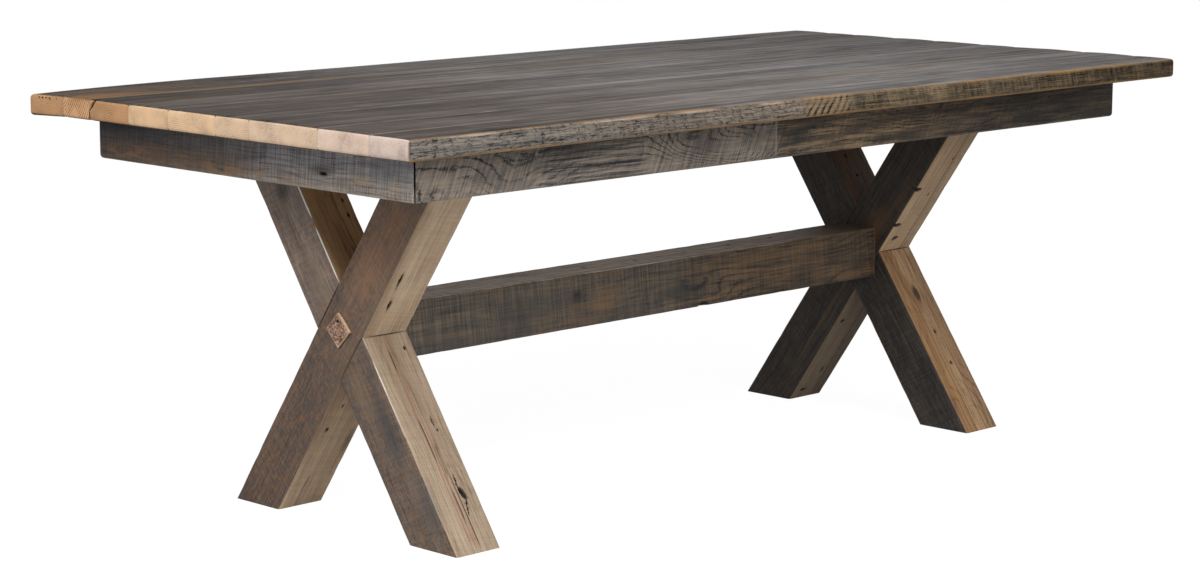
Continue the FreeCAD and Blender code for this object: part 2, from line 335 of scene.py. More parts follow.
@dataclass(frozen=True)
class Dent:
    """A nail hole, chip or knot hole: its place, size and depth on a face, its turn there and its stain."""

    SKIN = 0.004

    face: Face
    place: Pair
    size: Pair
    depth: float = 0.006
    turn: float = 0.0
    halo: Pair = (2.2, 0.55)

    def laid(self, pair: Pair, normal: float) -> Vector:
        """Return a pair of values on the face and one along its normal, in the board's order."""
        axis, _ = self.face.value
        return Vector((*pair[:axis], normal, *pair[axis:]))

    def centre(self, half: Vector) -> Vector:
        """Return the middle of the dent on a board of these half sizes."""
        axis, sign = self.face.value
        return self.laid(self.place, sign * half[axis])

    def radii(self, depth: float) -> Vector:
        """Return the dent's reach along each axis of its board."""
        return self.laid((self.size[0] / 2, self.size[1] / 2), depth)

    def turns(self) -> Vector:
        """Return the dent's turn about each axis of its board."""
        return self.laid((0.0, 0.0), self.turn)

    def reach(self, point: Vector, half: Vector, spare: float = 0.0) -> float:
        """Measure how far a point of the board's surface is from the dent's middle.

        Args:
            point: The point.
            half: Half the board's length, width and depth.
            spare: How much wider than the dent to look.

        Returns:
            The distance, as 1 on the rim, or infinity on any other face.
        """
        axis, _ = self.face.value
        offset = Euler(self.turns()).to_matrix().transposed() @ (point - self.centre(half))
        if abs(offset[axis]) > self.SKIN:
            return math.inf
        radii = self.radii(1.0)
        return math.hypot(*(offset[k] / (radii[k] + spare) for k in range(3) if k != axis))


@dataclass(frozen=True)
class Crack:
    """A dark shake along the grain: its face, where across it, from where to where, how wide and how it sways."""

    face: Face
    across: float
    low: float
    high: float
    width: float
    sway: float
    strength: float
    colour: Rgb


@dataclass(frozen=True)
class Knot:
    """A knot that the rings bend round: its place, its reach and how many rings it turns."""

    centre: Triple
    radii: Triple
    turns: float


@dataclass(frozen=True)
class Shift:
    """How a board's colour shifts along one of its axes, as tints at places from one side to the other."""

    axis: int
    stops: tuple[tuple[float, Rgb], ...]
    face: Optional[Face] = None


@dataclass(frozen=True)
class Span:
    """A length of a board with a tone of its own: from where to where along the grain, and how soft its ends are."""

    low: float
    high: float
    tone: Tone
    soft: float
    face: Optional[Face] = None


@dataclass(frozen=True)
class Grain:
    """How a board was cut from its tree and sawn: its rings, then the pitch and slant of each kind of mark."""

    pith: Pair = (0.03, -0.16)
    spacing: float = 0.006
    streak: float = 1.8
    waver: float = 0.03
    along: float = 2.2
    line: float = 0.5
    ragged: float = 0.0
    saw_pitch: float = 0.003
    saw_slant: float = 0.1
    kerf_pitch: float = 0.023
    kerf_slant: float = 0.15
    hatch_pitch: float = 0.0055
    hatch_slant: float = 0.9
    knots: tuple[Knot, ...] = ()


@dataclass(frozen=True)
class Wood:
    """The finish of one board."""

    name: str
    tone: Tone
    faces: tuple[tuple[Face, Tone], ...] = ()
    spans: tuple[Span, ...] = ()
    grain: Grain = Grain()
    shifts: tuple[Shift, ...] = ()
    patches: tuple[Patch, ...] = ()
    cracks: tuple[Crack, ...] = ()
    dents: tuple[Dent, ...] = ()
    # The arris colour is worn wood; where it is light, as on the left far leg and the pegs, it is a painted highlight.
    arris: Rgb = (160, 132, 100)
    arris_strength: float = 0.6
    arris_reach: float = 0.004
    arris_break: float = 0.012
    end_arris: bool = True
    roughness: float = 0.62
    specular: float = 0.25
    relief: float = 0.0012
    seed: int = 1

    def shows(self, mark: str) -> bool:
        """Tell whether any tone of the board shows a mark, such as its checks."""
        tones = (self.tone, *(tone for _, tone in self.faces), *(span.tone for span in self.spans))
        return any(getattr(tone, mark) for tone in tones)

    def material(self, bed: Bed) -> bpy.types.Material:
        """Return the finish for a board in its bed."""
        return Dressing(self, bed).material()


class Dressing:
    """One board's finish while it is drawn: its sheet, its coordinates, its grain and the masks of its faces."""

    # Waves to a metre of each kind of mark, along the grain and across it.
    FIBRE = (10.0, 330.0)
    BLOTCH = (4.0, 12.0)
    FLECK = (26.0, 85.0)
    RING_JAG = (60.0, 120.0)
    RING_FADE = (5.0, 30.0)
    CHECK_BEND = (24.0, 40.0)
    CHECK_NET = (38.0, 200.0)
    CHECK_SHOWN = (60.0, 150.0)
    CHECK_RUN = (16.0, 190.0)
    STREAK_ACROSS, SAW_ACROSS, KERF_ACROSS, RING_ACROSS = 55.0, 11.0, 9.0, 8.0
    SEED_STEPS = (3.17, 1.31, 0.73)
    IRON_STAIN, HOLE = (42, 32, 28), (12, 9, 8)
    # Lengths: where one face's mask gives way to the next, how a shake tapers, and under a face where it is seen.
    SOFT = 0.0008
    TAPER = 0.02
    SKIN = (0.004, 0.002)
    # The share of the surface's relief that a shake cuts away.
    CRACK_DEPTH = 0.25

    def __init__(self, wood: Wood, bed: Bed) -> None:
        """Draw what every face shares.

        Args:
            wood: The finish.
            bed: Where the board lies.
        """
        grain = wood.grain
        self.wood, self.half = wood, bed.half
        self.start = tuple(wood.seed * step for step in self.SEED_STEPS)
        self.sheet = Sheet.new(wood.name)
        self.at = bed.coordinates(self.sheet)
        self.places = self.at.split()
        self.fibre = self.noise(self.FIBRE, 0.7).ease(0.2, 0.8)
        self.fray = self.fibre - 0.5
        self.blotch = self.noise(self.BLOTCH, 0.62)
        self.sway = self.blotch - 0.5
        self.streak = self.noise((grain.streak, self.STREAK_ACROSS), 0.6, turn=2)
        strokes = (1.0 / grain.saw_pitch, self.SAW_ACROSS)
        self.saw = self.noise(strokes, 0.65, 2.0, at=self.leaning(grain.saw_slant)).ease(0.3, 0.7)
        self.ring = self.rings()
        drawn = {"check": self.checks, "kerf": self.kerfs, "hatch": self.hatching}
        self.marks = {mark: draw() for mark, draw in drawn.items() if wood.shows(mark)}
        self.masks = self.face_masks()

    def noise(self, per_metre: Pair, rough: float, detail: float = 3.0, turn: int = 0,
              at: Optional[Wire] = None) -> Wire:
        """Return noise that starts at the board's own place, whose parts a turn swaps round."""
        start = self.start[turn:] + self.start[:turn]
        return self.sheet.noise(at or self.at, per_metre, detail, rough, start)

    def lean(self, slant: float) -> Wire:
        """Return the place along the grain, slanted across it."""
        return self.places[0] + (self.places[1] + self.places[2]) * slant

    def leaning(self, slant: float) -> Wire:
        """Return coordinates in which marks across the grain slant."""
        return self.sheet.node("ShaderNodeCombineXYZ", {}, {0: self.lean(slant), 1: self.places[1], 2: self.places[2]})

    def material(self) -> bpy.types.Material:
        """Lay tones, tints, stains, shakes, arrises and holes over each other; the arris colour is wear, and on some
        boards a painted highlight.

        Returns:
            The finish.
        """
        sheet, wood = self.sheet, self.wood
        colour, height = self.toned(wood.tone)
        parts = [(self.masks[face], tone) for face, tone in wood.faces]
        parts += [(self.span_share(span), span.tone) for span in wood.spans]
        for share, tone in parts:
            part_colour, part_height = self.toned(tone)
            colour = sheet.mix(share, colour, part_colour)
            height = height + (part_height - height) * share
        for shift in wood.shifts:
            place = self.places[shift.axis] / (2 * self.half[shift.axis]) + self.sway * 0.03 + 0.5
            share = self.masks[shift.face] if shift.face else 1.0
            colour = sheet.mix(share, colour, sheet.ramp(place, shift.stops), "MULTIPLY")
        for patch in wood.patches:
            colour = sheet.mix(self.patch_share(patch), colour, patch.colour)
        for crack in wood.cracks:
            line = self.crack_line(crack)
            colour = sheet.mix(line * crack.strength, colour, crack.colour)
            height = height - line * self.CRACK_DEPTH
        # The arris colour laid here is wear, and where it is light a painted highlight on the rounded arris.
        colour = sheet.mix(self.wear_and_glint_share() * wood.arris_strength, colour, wood.arris)
        for dent in wood.dents:
            colour = self.holed(colour, dent)
        return sheet.surface({
            "Base Color": colour,
            "Roughness": wood.roughness + self.fray * 0.2,
            "Specular IOR Level": wood.specular,
            "Normal": sheet.node("ShaderNodeBump", {}, {"Height": height, "Distance": wood.relief, "Strength": 1.0}),
        })

    def toned(self, tone: Tone) -> tuple[Wire, Wire]:
        """Colour the grain in one tone.

        Args:
            tone: The tone.

        Returns:
            The colour, and the height of the surface from 0 to about 1.
        """
        sheet, seed = self.sheet, self.wood.seed
        value = (self.streak - 0.5) * tone.streak + self.fray * tone.fibre
        value = value + (self.saw - 0.5) * tone.saw - (self.ring - 0.3) * tone.ring
        for mark, drawn in self.marks.items():
            if getattr(tone, mark):
                value = value - drawn * getattr(tone, mark)
        height = value + 0.5
        value = height + self.sway * tone.blotch
        colour = sheet.ramp(value, ((0.1, tone.dark), (0.5, tone.mid), (0.9, tone.light)))
        for count, mottle in enumerate(tone.mottles):
            shift = (seed * 1.7 + count * 5.1, seed * 2.3, count * 3.3)
            cloud = sheet.noise(self.at, mottle.per_metre, 4.0, 0.62, shift) + self.fray * 0.12
            colour = sheet.mix(cloud.ease(mottle.low, mottle.high) * mottle.strength, colour, mottle.colour)
        return colour, height

    def rings(self) -> Wire:
        """Draw the year rings round the pith, bent by the knots.

        Returns:
            The dark late wood, from 0 to 1.
        """
        grain = self.wood.grain
        waves = (grain.along, self.RING_ACROSS)
        wander, second = (self.noise(waves, 0.5, 2.0, turn) - 0.5 for turn in (0, 1))
        out = self.places[1] - grain.pith[0] + wander * (2 * grain.waver)
        down = self.places[2] - grain.pith[1] + second * (2 * grain.waver)
        phase = (out * out + down * down) ** 0.5 / grain.spacing + self.fibre * 0.25
        if grain.ragged:
            phase = phase + (self.noise(self.RING_JAG, 0.65) - 0.5) * grain.ragged
        for knot in grain.knots:
            near = self.sheet.near(self.at, knot.centre, knot.radii) + wander * 0.8
            phase = phase + (1 - near.ease(0.0, 1.0)) * knot.turns
        peak = 1 - abs(phase.fraction() * 2 - 1)
        return peak.ease(1.0 - grain.line, 1.0) * self.noise(self.RING_FADE, 0.6).ease(0.32, 0.6)

    def checks(self) -> Wire:
        """Draw the short crossing cracks of weathered wood.

        Returns:
            The cracks, from 0 to 1.
        """
        sheet = self.sheet
        bend = sheet.stretch(self.at, self.CHECK_BEND, self.start)
        sway = sheet.node("ShaderNodeTexNoise", {}, {"Vector": bend, "Scale": 1.0, "Detail": 2.0}, "Color")
        bent = sheet.node("ShaderNodeVectorMath", {"operation": "MULTIPLY_ADD"},
                          {0: sway, 1: (0.02, 0.01, 0.01), 2: self.at})
        cells = sheet.stretch(bent, self.CHECK_NET, self.start)
        net = sheet.node("ShaderNodeTexVoronoi", {"feature": "DISTANCE_TO_EDGE"}, {"Vector": cells, "Scale": 1.0},
                         "Distance")
        shown = self.noise(self.CHECK_SHOWN, 0.65).ease(0.38, 0.56)
        runs = self.noise(self.CHECK_RUN, 0.65, at=bent).ease(0.53, 0.66)
        return ((1 - net.ease(0.0, 0.1)) * shown).most(runs * 0.45) * self.blotch.ease(0.24, 0.46)

    def kerfs(self) -> Wire:
        """Draw the wide marks that a coarse saw leaves.

        Returns:
            The marks, from 0 to 1.
        """
        grain = self.wood.grain
        waves = (1.6 / grain.kerf_pitch, self.KERF_ACROSS)
        marks = self.noise(waves, 0.5, 2.0, 2, self.leaning(grain.kerf_slant))
        return marks.ease(0.5, 0.68) * (self.fibre * 0.5 + 0.6)

    def hatching(self) -> Wire:
        """Draw the slanting rings of a length of edge.

        Returns:
            The dark lines, from 0 to 1.
        """
        grain = self.wood.grain
        swing = (self.lean(grain.hatch_slant) + self.sway * 0.06) * (math.tau / grain.hatch_pitch)
        wave = swing.sine() * 0.5 + 0.5
        return wave.ease(0.3, 1.0) * (self.fibre * 0.5 + 0.5) * self.blotch.ease(0.3, 0.55)

    def face_masks(self) -> dict[Union[Face, str], Wire]:
        """Work out which face a point is on, and how far it is from the nearest arris.

        Returns:
            A mask for every face that has a tone, span or shift of its own, the mask of both ends named end,
            and the distance named arris.
        """
        wood, soft = self.wood, self.SOFT
        gaps = [self.half[axis] - abs(self.places[axis]) for axis in range(3)]
        inside = gaps[1].least(gaps[2])
        on_end = (inside - gaps[0]).ease(-soft, soft).most(inside.ease(0.003, 0.005))
        on_bed = (gaps[1] - gaps[2]).ease(-soft, soft)
        of_axis = (on_end, (1 - on_bed) * (1 - on_end), on_bed * (1 - on_end))
        arris = gaps[1].most(gaps[2])
        if wood.end_arris:
            arris = arris.least(gaps[0].most(inside))
        masks: dict[Union[Face, str], Wire] = {"arris": arris, "end": on_end}
        own = [face for face, _ in wood.faces] + [part.face for part in wood.shifts + wood.spans if part.face]
        for face in dict.fromkeys(own):
            axis, sign = face.value
            masks[face] = of_axis[axis] * (self.places[axis] * sign).ease(-soft, soft)
        return masks

    def span_share(self, span: Span) -> Wire:
        """Work out how much of a span's tone shows.

        Args:
            span: The span.

        Returns:
            The share, from 0 to 1.
        """
        along = self.places[0] + self.sway * span.soft * 2
        begun, ended = (along.ease(end - span.soft, end + span.soft) for end in (span.low, span.high))
        inside = begun * (1 - ended)
        return inside * self.masks[span.face] if span.face else inside

    def patch_share(self, patch: Patch) -> Wire:
        """Work out how much of a stain shows.

        Args:
            patch: The stain.

        Returns:
            The share, from 0 to 1.
        """
        reach = self.sheet.near(self.at, patch.centre, patch.radii) + self.sway * patch.ragged
        share = (1 - reach.ease(patch.core, 1.0)) * (self.fibre + 0.5) * patch.strength
        if patch.flecked:
            share = share * self.noise(self.FLECK, 0.65).ease(0.46, 0.6)
        return share.least(1.0)

    def crack_line(self, crack: Crack) -> Wire:
        """Draw one shake.

        Args:
            crack: The shake.

        Returns:
            The shake, from 0 to 1.
        """
        axis, sign = crack.face.value
        along, across = self.places[0], self.places[3 - axis]
        off = abs(across - crack.across + self.sway * crack.sway)
        line = (1 - off.ease(crack.width * 0.3, crack.width)) * along.ease(crack.low, crack.low + self.TAPER)
        line = line * (1 - along.ease(crack.high - self.TAPER, crack.high))
        inner, outer = (self.half[axis] - depth for depth in self.SKIN)
        return line * (self.places[axis] * sign).ease(inner, outer) * self.streak.ease(0.36, 0.52)

    def wear_and_glint_share(self) -> Wire:
        """Work out how much of the arris colour shows: wear, and on some boards a painted highlight.

        Returns:
            The share, from 0 to 1.
        """
        gap = self.masks["arris"] + self.fray * 0.002 + (self.blotch - 0.45) * self.wood.arris_break
        # worn is the arris mask, carrying wear and painted highlight alike.
        worn = 1 - gap.ease(0.0, self.wood.arris_reach)
        return worn if self.wood.end_arris else worn * (1 - self.masks["end"])

    def holed(self, colour: Wire, dent: Dent) -> Wire:
        """Darken a hole and the stain round it.

        Args:
            colour: The colour of the board so far.
            dent: The hole.

        Returns:
            The colour with the hole.
        """
        centre, turns, radii = dent.centre(self.half), dent.turns(), dent.radii(dent.depth * 1.6)
        reach, strength = dent.halo
        stain = self.sheet.near(self.at, centre, radii * reach, turns) + self.fray * 0.5
        colour = self.sheet.mix((1 - stain.ease(0.2, 1.0)) * strength, colour, self.IRON_STAIN)
        return self.sheet.mix(1 - self.sheet.near(self.at, centre, radii, turns).ease(0.85, 1.15), colour, self.HOLE)


@dataclass(frozen=True)
class Steel:
    """Plain zinc-plated steel, mottled between two greys."""

    name: str = "zinc_steel"
    dull: Rgb = (150, 148, 142)
    bright: Rgb = (170, 168, 162)
    per_metre: Pair = (160.0, 160.0)

    def material(self) -> bpy.types.Material:
        """Draw the plating.

        Returns:
            The finish.
        """
        sheet = Sheet.new(self.name)
        mottle = sheet.noise(sheet.node("ShaderNodeTexCoord", {}, {}, "Object"), self.per_metre, 3.0)
        return sheet.surface({
            "Base Color": sheet.mix(mottle, self.dull, self.bright),
            "Metallic": 1.0,
            "Roughness": mottle * 0.25 + 0.3,
        })


def finished(mesh: bmesh.types.BMesh, name: str) -> bpy.types.Object:
    """Shade a mesh smooth, keep its hard edges and link it to the scene.

    Args:
        mesh: The mesh, in the table's axes; it is freed.
        name: The piece's name.

    Returns:
        The new object.
    """
    for face in mesh.faces:
        face.smooth = True
    for edge in mesh.edges:
        edge.smooth = len(edge.link_faces) != 2 or edge.calc_face_angle() < HARD_EDGE
    data = bpy.data.meshes.new(name)
    mesh.to_mesh(data)
    mesh.free()
    piece = bpy.data.objects.new(name, data)
    bpy.context.scene.collection.objects.link(piece)
    return piece


@dataclass
class Board:
    """A board modelled along its own grain, weathered, then laid in its bed."""

    # How far from an arris it is worn and a face is flat, and chips and waves to a metre.
    WORN_REACH, FLAT_REACH = 0.009, 0.002
    CHIPS, WAVES = 22.0, 5.0

    name: str
    node: str
    slot: str
    bed: Bed
    wood: Wood
    arris: float = 0.0035
    cell: Pair = (0.006, 0.006)
    wear: float = 0.0012
    bow: float = 0.0004
    mesh: bmesh.types.BMesh = field(default_factory=bmesh.new, init=False)

    def square(self) -> None:
        """Square the board, ease its long arrises and divide its faces into cells."""
        bmesh.ops.create_cube(self.mesh, size=2.0)
        bmesh.ops.scale(self.mesh, vec=self.bed.half, verts=self.mesh.verts)
        self.ease()
        for axis in range(3):
            self.divide(axis)

    def ease(self) -> None:
        """Round the arrises that run along the grain."""
        self.round_edges(lambda e: self.runs_along(e, 0), self.arris, 3)

    @staticmethod
    def runs_along(edge: bmesh.types.BMEdge, axis: int) -> bool:
        """Tell whether an edge runs along an axis of the board."""
        line = edge.verts[1].co - edge.verts[0].co
        return abs(line[axis]) > 0.999 * line.length

    def round_edges(self, chosen: Callable[[bmesh.types.BMEdge], bool], radius: float, steps: int) -> None:
        """Bevel the edges that a test chooses to a round of this radius, in as many strips as it has steps."""
        edges = [edge for edge in self.mesh.edges if chosen(edge)]
        bmesh.ops.bevel(self.mesh, geom=edges, offset=radius, segments=steps, profile=0.5, affect="EDGES", material=-1)

    def divide(self, axis: int) -> None:
        """Cut the long edges along one axis into cells.

        Args:
            axis: The axis.
        """
        size = 2 * self.bed.half[axis]
        cell = self.cell[0] if axis == 0 else self.cell[1]
        edges = [e for e in self.mesh.edges if self.runs_along(e, axis) and e.calc_length() > 0.6 * size]
        bmesh.ops.subdivide_edges(self.mesh, edges=edges, cuts=max(1, round(size / cell) - 1), use_grid_fill=True)

    def split(self, point: Vector, normal: Vector, clear: bool) -> list:
        """Cut the mesh along a plane, clear what lies beyond it if asked, and return what the cut made."""
        whole = self.mesh.verts[:] + self.mesh.edges[:] + self.mesh.faces[:]
        return bmesh.ops.bisect_plane(self.mesh, geom=whole, plane_co=point, plane_no=normal,
                                      clear_outer=clear)["geom_cut"]

    def cut(self, point: Vector, normal: Vector) -> None:
        """Saw off what lies beyond a plane of the table and close the cut.

        Args:
            point: A point on the plane, in the table's axes.
            normal: The plane's normal, towards the waste.
        """
        inverse = self.bed.matrix().inverted()
        made = self.split(inverse @ point, inverse.to_3x3() @ normal, True)
        bmesh.ops.contextual_create(self.mesh, geom=[e for e in made if isinstance(e, bmesh.types.BMEdge)])

    def shape(self) -> None:
        """Cut the board to its own outline; a plain board needs no cut."""

    def weather(self) -> None:
        """Wear the arrises unevenly, bow the faces a little and open the holes."""
        half = self.bed.half
        chip_start, wave_start = (Vector((self.wood.seed * step, 0.0, 0.0)) for step in (5.3, 2.7))
        for vert in self.mesh.verts:
            point = vert.co.copy()
            gaps = [half[axis] - abs(point[axis]) for axis in (1, 2)]
            nearness = max(0.0, 1.0 - max(gaps) / self.WORN_REACH)
            seat = Vector((point.x * self.CHIPS, math.copysign(3.0, point.y), math.copysign(7.0, point.z)))
            chips = noise.noise(seat + chip_start)
            loss = self.wear * nearness ** 2 * (0.5 + 1.6 * max(0.0, chips))
            wave = noise.noise(point * self.WAVES + wave_start) * self.bow
            for axis, gap in zip((1, 2), gaps):
                inward = loss + (wave if gap < self.FLAT_REACH else 0.0)
                vert.co[axis] -= math.copysign(inward, point[axis])
        for dent in self.wood.dents:
            self.open_dent(dent)

    def open_dent(self, dent: Dent) -> None:
        """Divide the face finely round a hole and press the hole in.

        Args:
            dent: The hole.
        """
        axis, sign = dent.face.value
        half = self.bed.half
        spare = max(self.cell)
        centre = dent.centre(half)
        far = (max(dent.size) / 2 + 2 * spare) ** 2

        def close() -> list[bmesh.types.BMVert]:
            """Return the vertices near the hole."""
            return [v for v in self.mesh.verts if (v.co - centre).length_squared < far]

        patch = {f for v in close() for f in v.link_faces}
        ring = {e for f in patch for e in f.edges if dent.reach(f.calc_center_median(), half, spare) < 1.0}
        bmesh.ops.subdivide_edges(self.mesh, edges=list(ring), cuts=3, use_grid_fill=True)
        for vert in close():
            reach = dent.reach(vert.co, half)
            if reach < 1.0:
                vert.co[axis] -= sign * dent.depth * math.sqrt(1.0 - reach * reach)

    def build(self) -> None:
        """Make the board, give it its finish and report it."""
        self.square()
        self.shape()
        self.weather()
        self.mesh.transform(self.bed.matrix())
        piece = finished(self.mesh, self.name)
        piece.data.materials.append(self.wood.material(self.bed))
        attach(piece, "root")
        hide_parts(self.node)
        log.info("%s: %d faces", self.name, len(piece.data.polygons))


@dataclass
class TopPlank(Board):
    """A plank of the top, rounded where it meets the rim and eased along its seams."""

    # Waves of the upper face: to a metre along and across, where the noise starts, and their height.
    SURFACE = ((2.1, 3.0, 4.0, 0.0011), (5.0, 11.0, 9.0, 0.0006))
    DIP_RUN = 0.5

    rim: float = 0.0065
    seam: float = 0.0005
    crown: float = 0.0008
    outer: int = 0
    dip: float = 0.0

    def ease(self) -> None:
        """Round the rim's edges and ease the two seam edges."""
        self.round_edges(self.at_rim, self.rim, 3)
        self.round_edges(lambda e: self.runs_along(e, 0) and e.calc_length() > self.bed.half.x
                         and e.calc_face_angle() > CORNER, self.seam, 1)

    def at_rim(self, edge: bmesh.types.BMEdge) -> bool:
        """Tell whether an edge is on the rim of the whole top.

        Args:
            edge: The edge.

        Returns:
            Whether it is.
        """
        middle, half = (edge.verts[0].co + edge.verts[1].co) / 2, self.bed.half
        on_outer = bool(self.outer) and abs(middle.y - self.outer * half.y) < TINY
        on_end = abs(abs(middle.x) - half.x) < TINY
        if self.runs_along(edge, 2):
            return on_outer and on_end
        return on_outer if self.runs_along(edge, 0) else on_end

    def weather(self) -> None:
        """Leave the upper face slightly wavy and crowned, as a hand-planed board is."""
        super().weather()
        half = self.bed.half
        for vert in self.mesh.verts:
            rise = (vert.co.z / half.z + 1.0) / 2.0
            place = self.bed.middle + vert.co
            wave = sum(noise.noise(Vector((place.x * along, place.y * across, start))) * height
                       for along, across, start, height in self.SURFACE)
            sag = self.crown * (vert.co.y / half.y) ** 2
            corner = max(0.0, 1.0 - (vert.co.x + half.x) / self.DIP_RUN)
            outward = max(0.0, (vert.co.y * self.outer / half.y + 1.0) / 2.0)
            vert.co.z += rise * (wave - sag) - self.dip * corner ** 2 * outward


@dataclass
class ApronBoard(Board):
    """A board of the apron, mitred at both ends, with its outer corners rounded."""

    corner: float = 0.009
    foot: float = 0.006
    outward: int = -1
    joint: float = 0.0003

    def ease(self) -> None:
        """Round the upright outer corners, then the two lower arrises."""
        half = self.bed.half
        self.round_edges(lambda e: self.runs_along(e, 2) and e.verts[0].co.y * self.outward > NEARLY * half.y,
                         self.corner, 4)
        self.round_edges(lambda e: all(v.co.z < -NEARLY * half.z for v in e.verts) and e.calc_face_angle() > CORNER
                         and not self.runs_along(e, 1), self.foot, 3)

    def shape(self) -> None:
        """Saw the two mitres."""
        half = self.bed.half
        matrix = self.bed.matrix()
        for sign in (-1, 1):
            corner = Vector((sign * (half.x - self.joint), self.outward * half.y, 0.0))
            normal = Vector((sign, -self.outward, 0.0)).normalized()
            self.cut(matrix @ corner, matrix.to_3x3() @ normal)


@dataclass
class Leg(Board):
    """A leaning leg, sawn level at both ends and half-lapped where it crosses its pair."""

    LAP_GAP = 0.0002

    floor: float = 0.0
    height: float = 0.7
    other_across: Vector = field(default_factory=Vector)
    keeps_low: bool = True
    lap_margin: float = 0.0005

    def shape(self) -> None:
        """Saw the ends level and cut the half lap."""
        up = Vector((0.0, 0.0, 1.0))
        self.cut(up * self.floor, -up)
        self.cut(up * self.height, up)
        across = self.bed.turn.transposed() @ self.other_across
        band = self.bed.half.y - self.lap_margin
        for sign in (-1, 1):
            self.split(across * (sign * band), across, False)
        waste = 1 if self.keeps_low else -1
        for vert in self.mesh.verts:
            if abs(vert.co.dot(across)) < band - 10 * TINY and vert.co.z * waste > 0.0:
                vert.co.z = -waste * self.LAP_GAP
        bmesh.ops.remove_doubles(self.mesh, verts=self.mesh.verts, dist=TINY)
        bmesh.ops.dissolve_degenerate(self.mesh, edges=self.mesh.edges, dist=TINY)

    def weather(self) -> None:
        """Weather the leg, but keep its sawn ends level."""
        super().weather()
        there = self.bed.matrix()
        back = there.inverted()
        for vert in self.mesh.verts:
            place = there @ vert.co
            level = min(max(place.z, self.floor), self.height)
            if level != place.z:
                vert.co = back @ Vector((place.x, place.y, level))


@dataclass
class Peg(Board):
    """A square peg that stands on its corner, chamfered where it is proud."""

    chamfer: float = 0.0018
    side: float = 0.0008
    outward: int = -1

    def ease(self) -> None:
        """Chamfer the proud end and take the sharpness off the sides."""
        half_x = self.bed.half.x
        self.round_edges(lambda e: all(abs(v.co.x - self.outward * half_x) < TINY for v in e.verts), self.chamfer, 2)
        self.round_edges(lambda e: self.runs_along(e, 0) and e.calc_length() > half_x, self.side, 1)


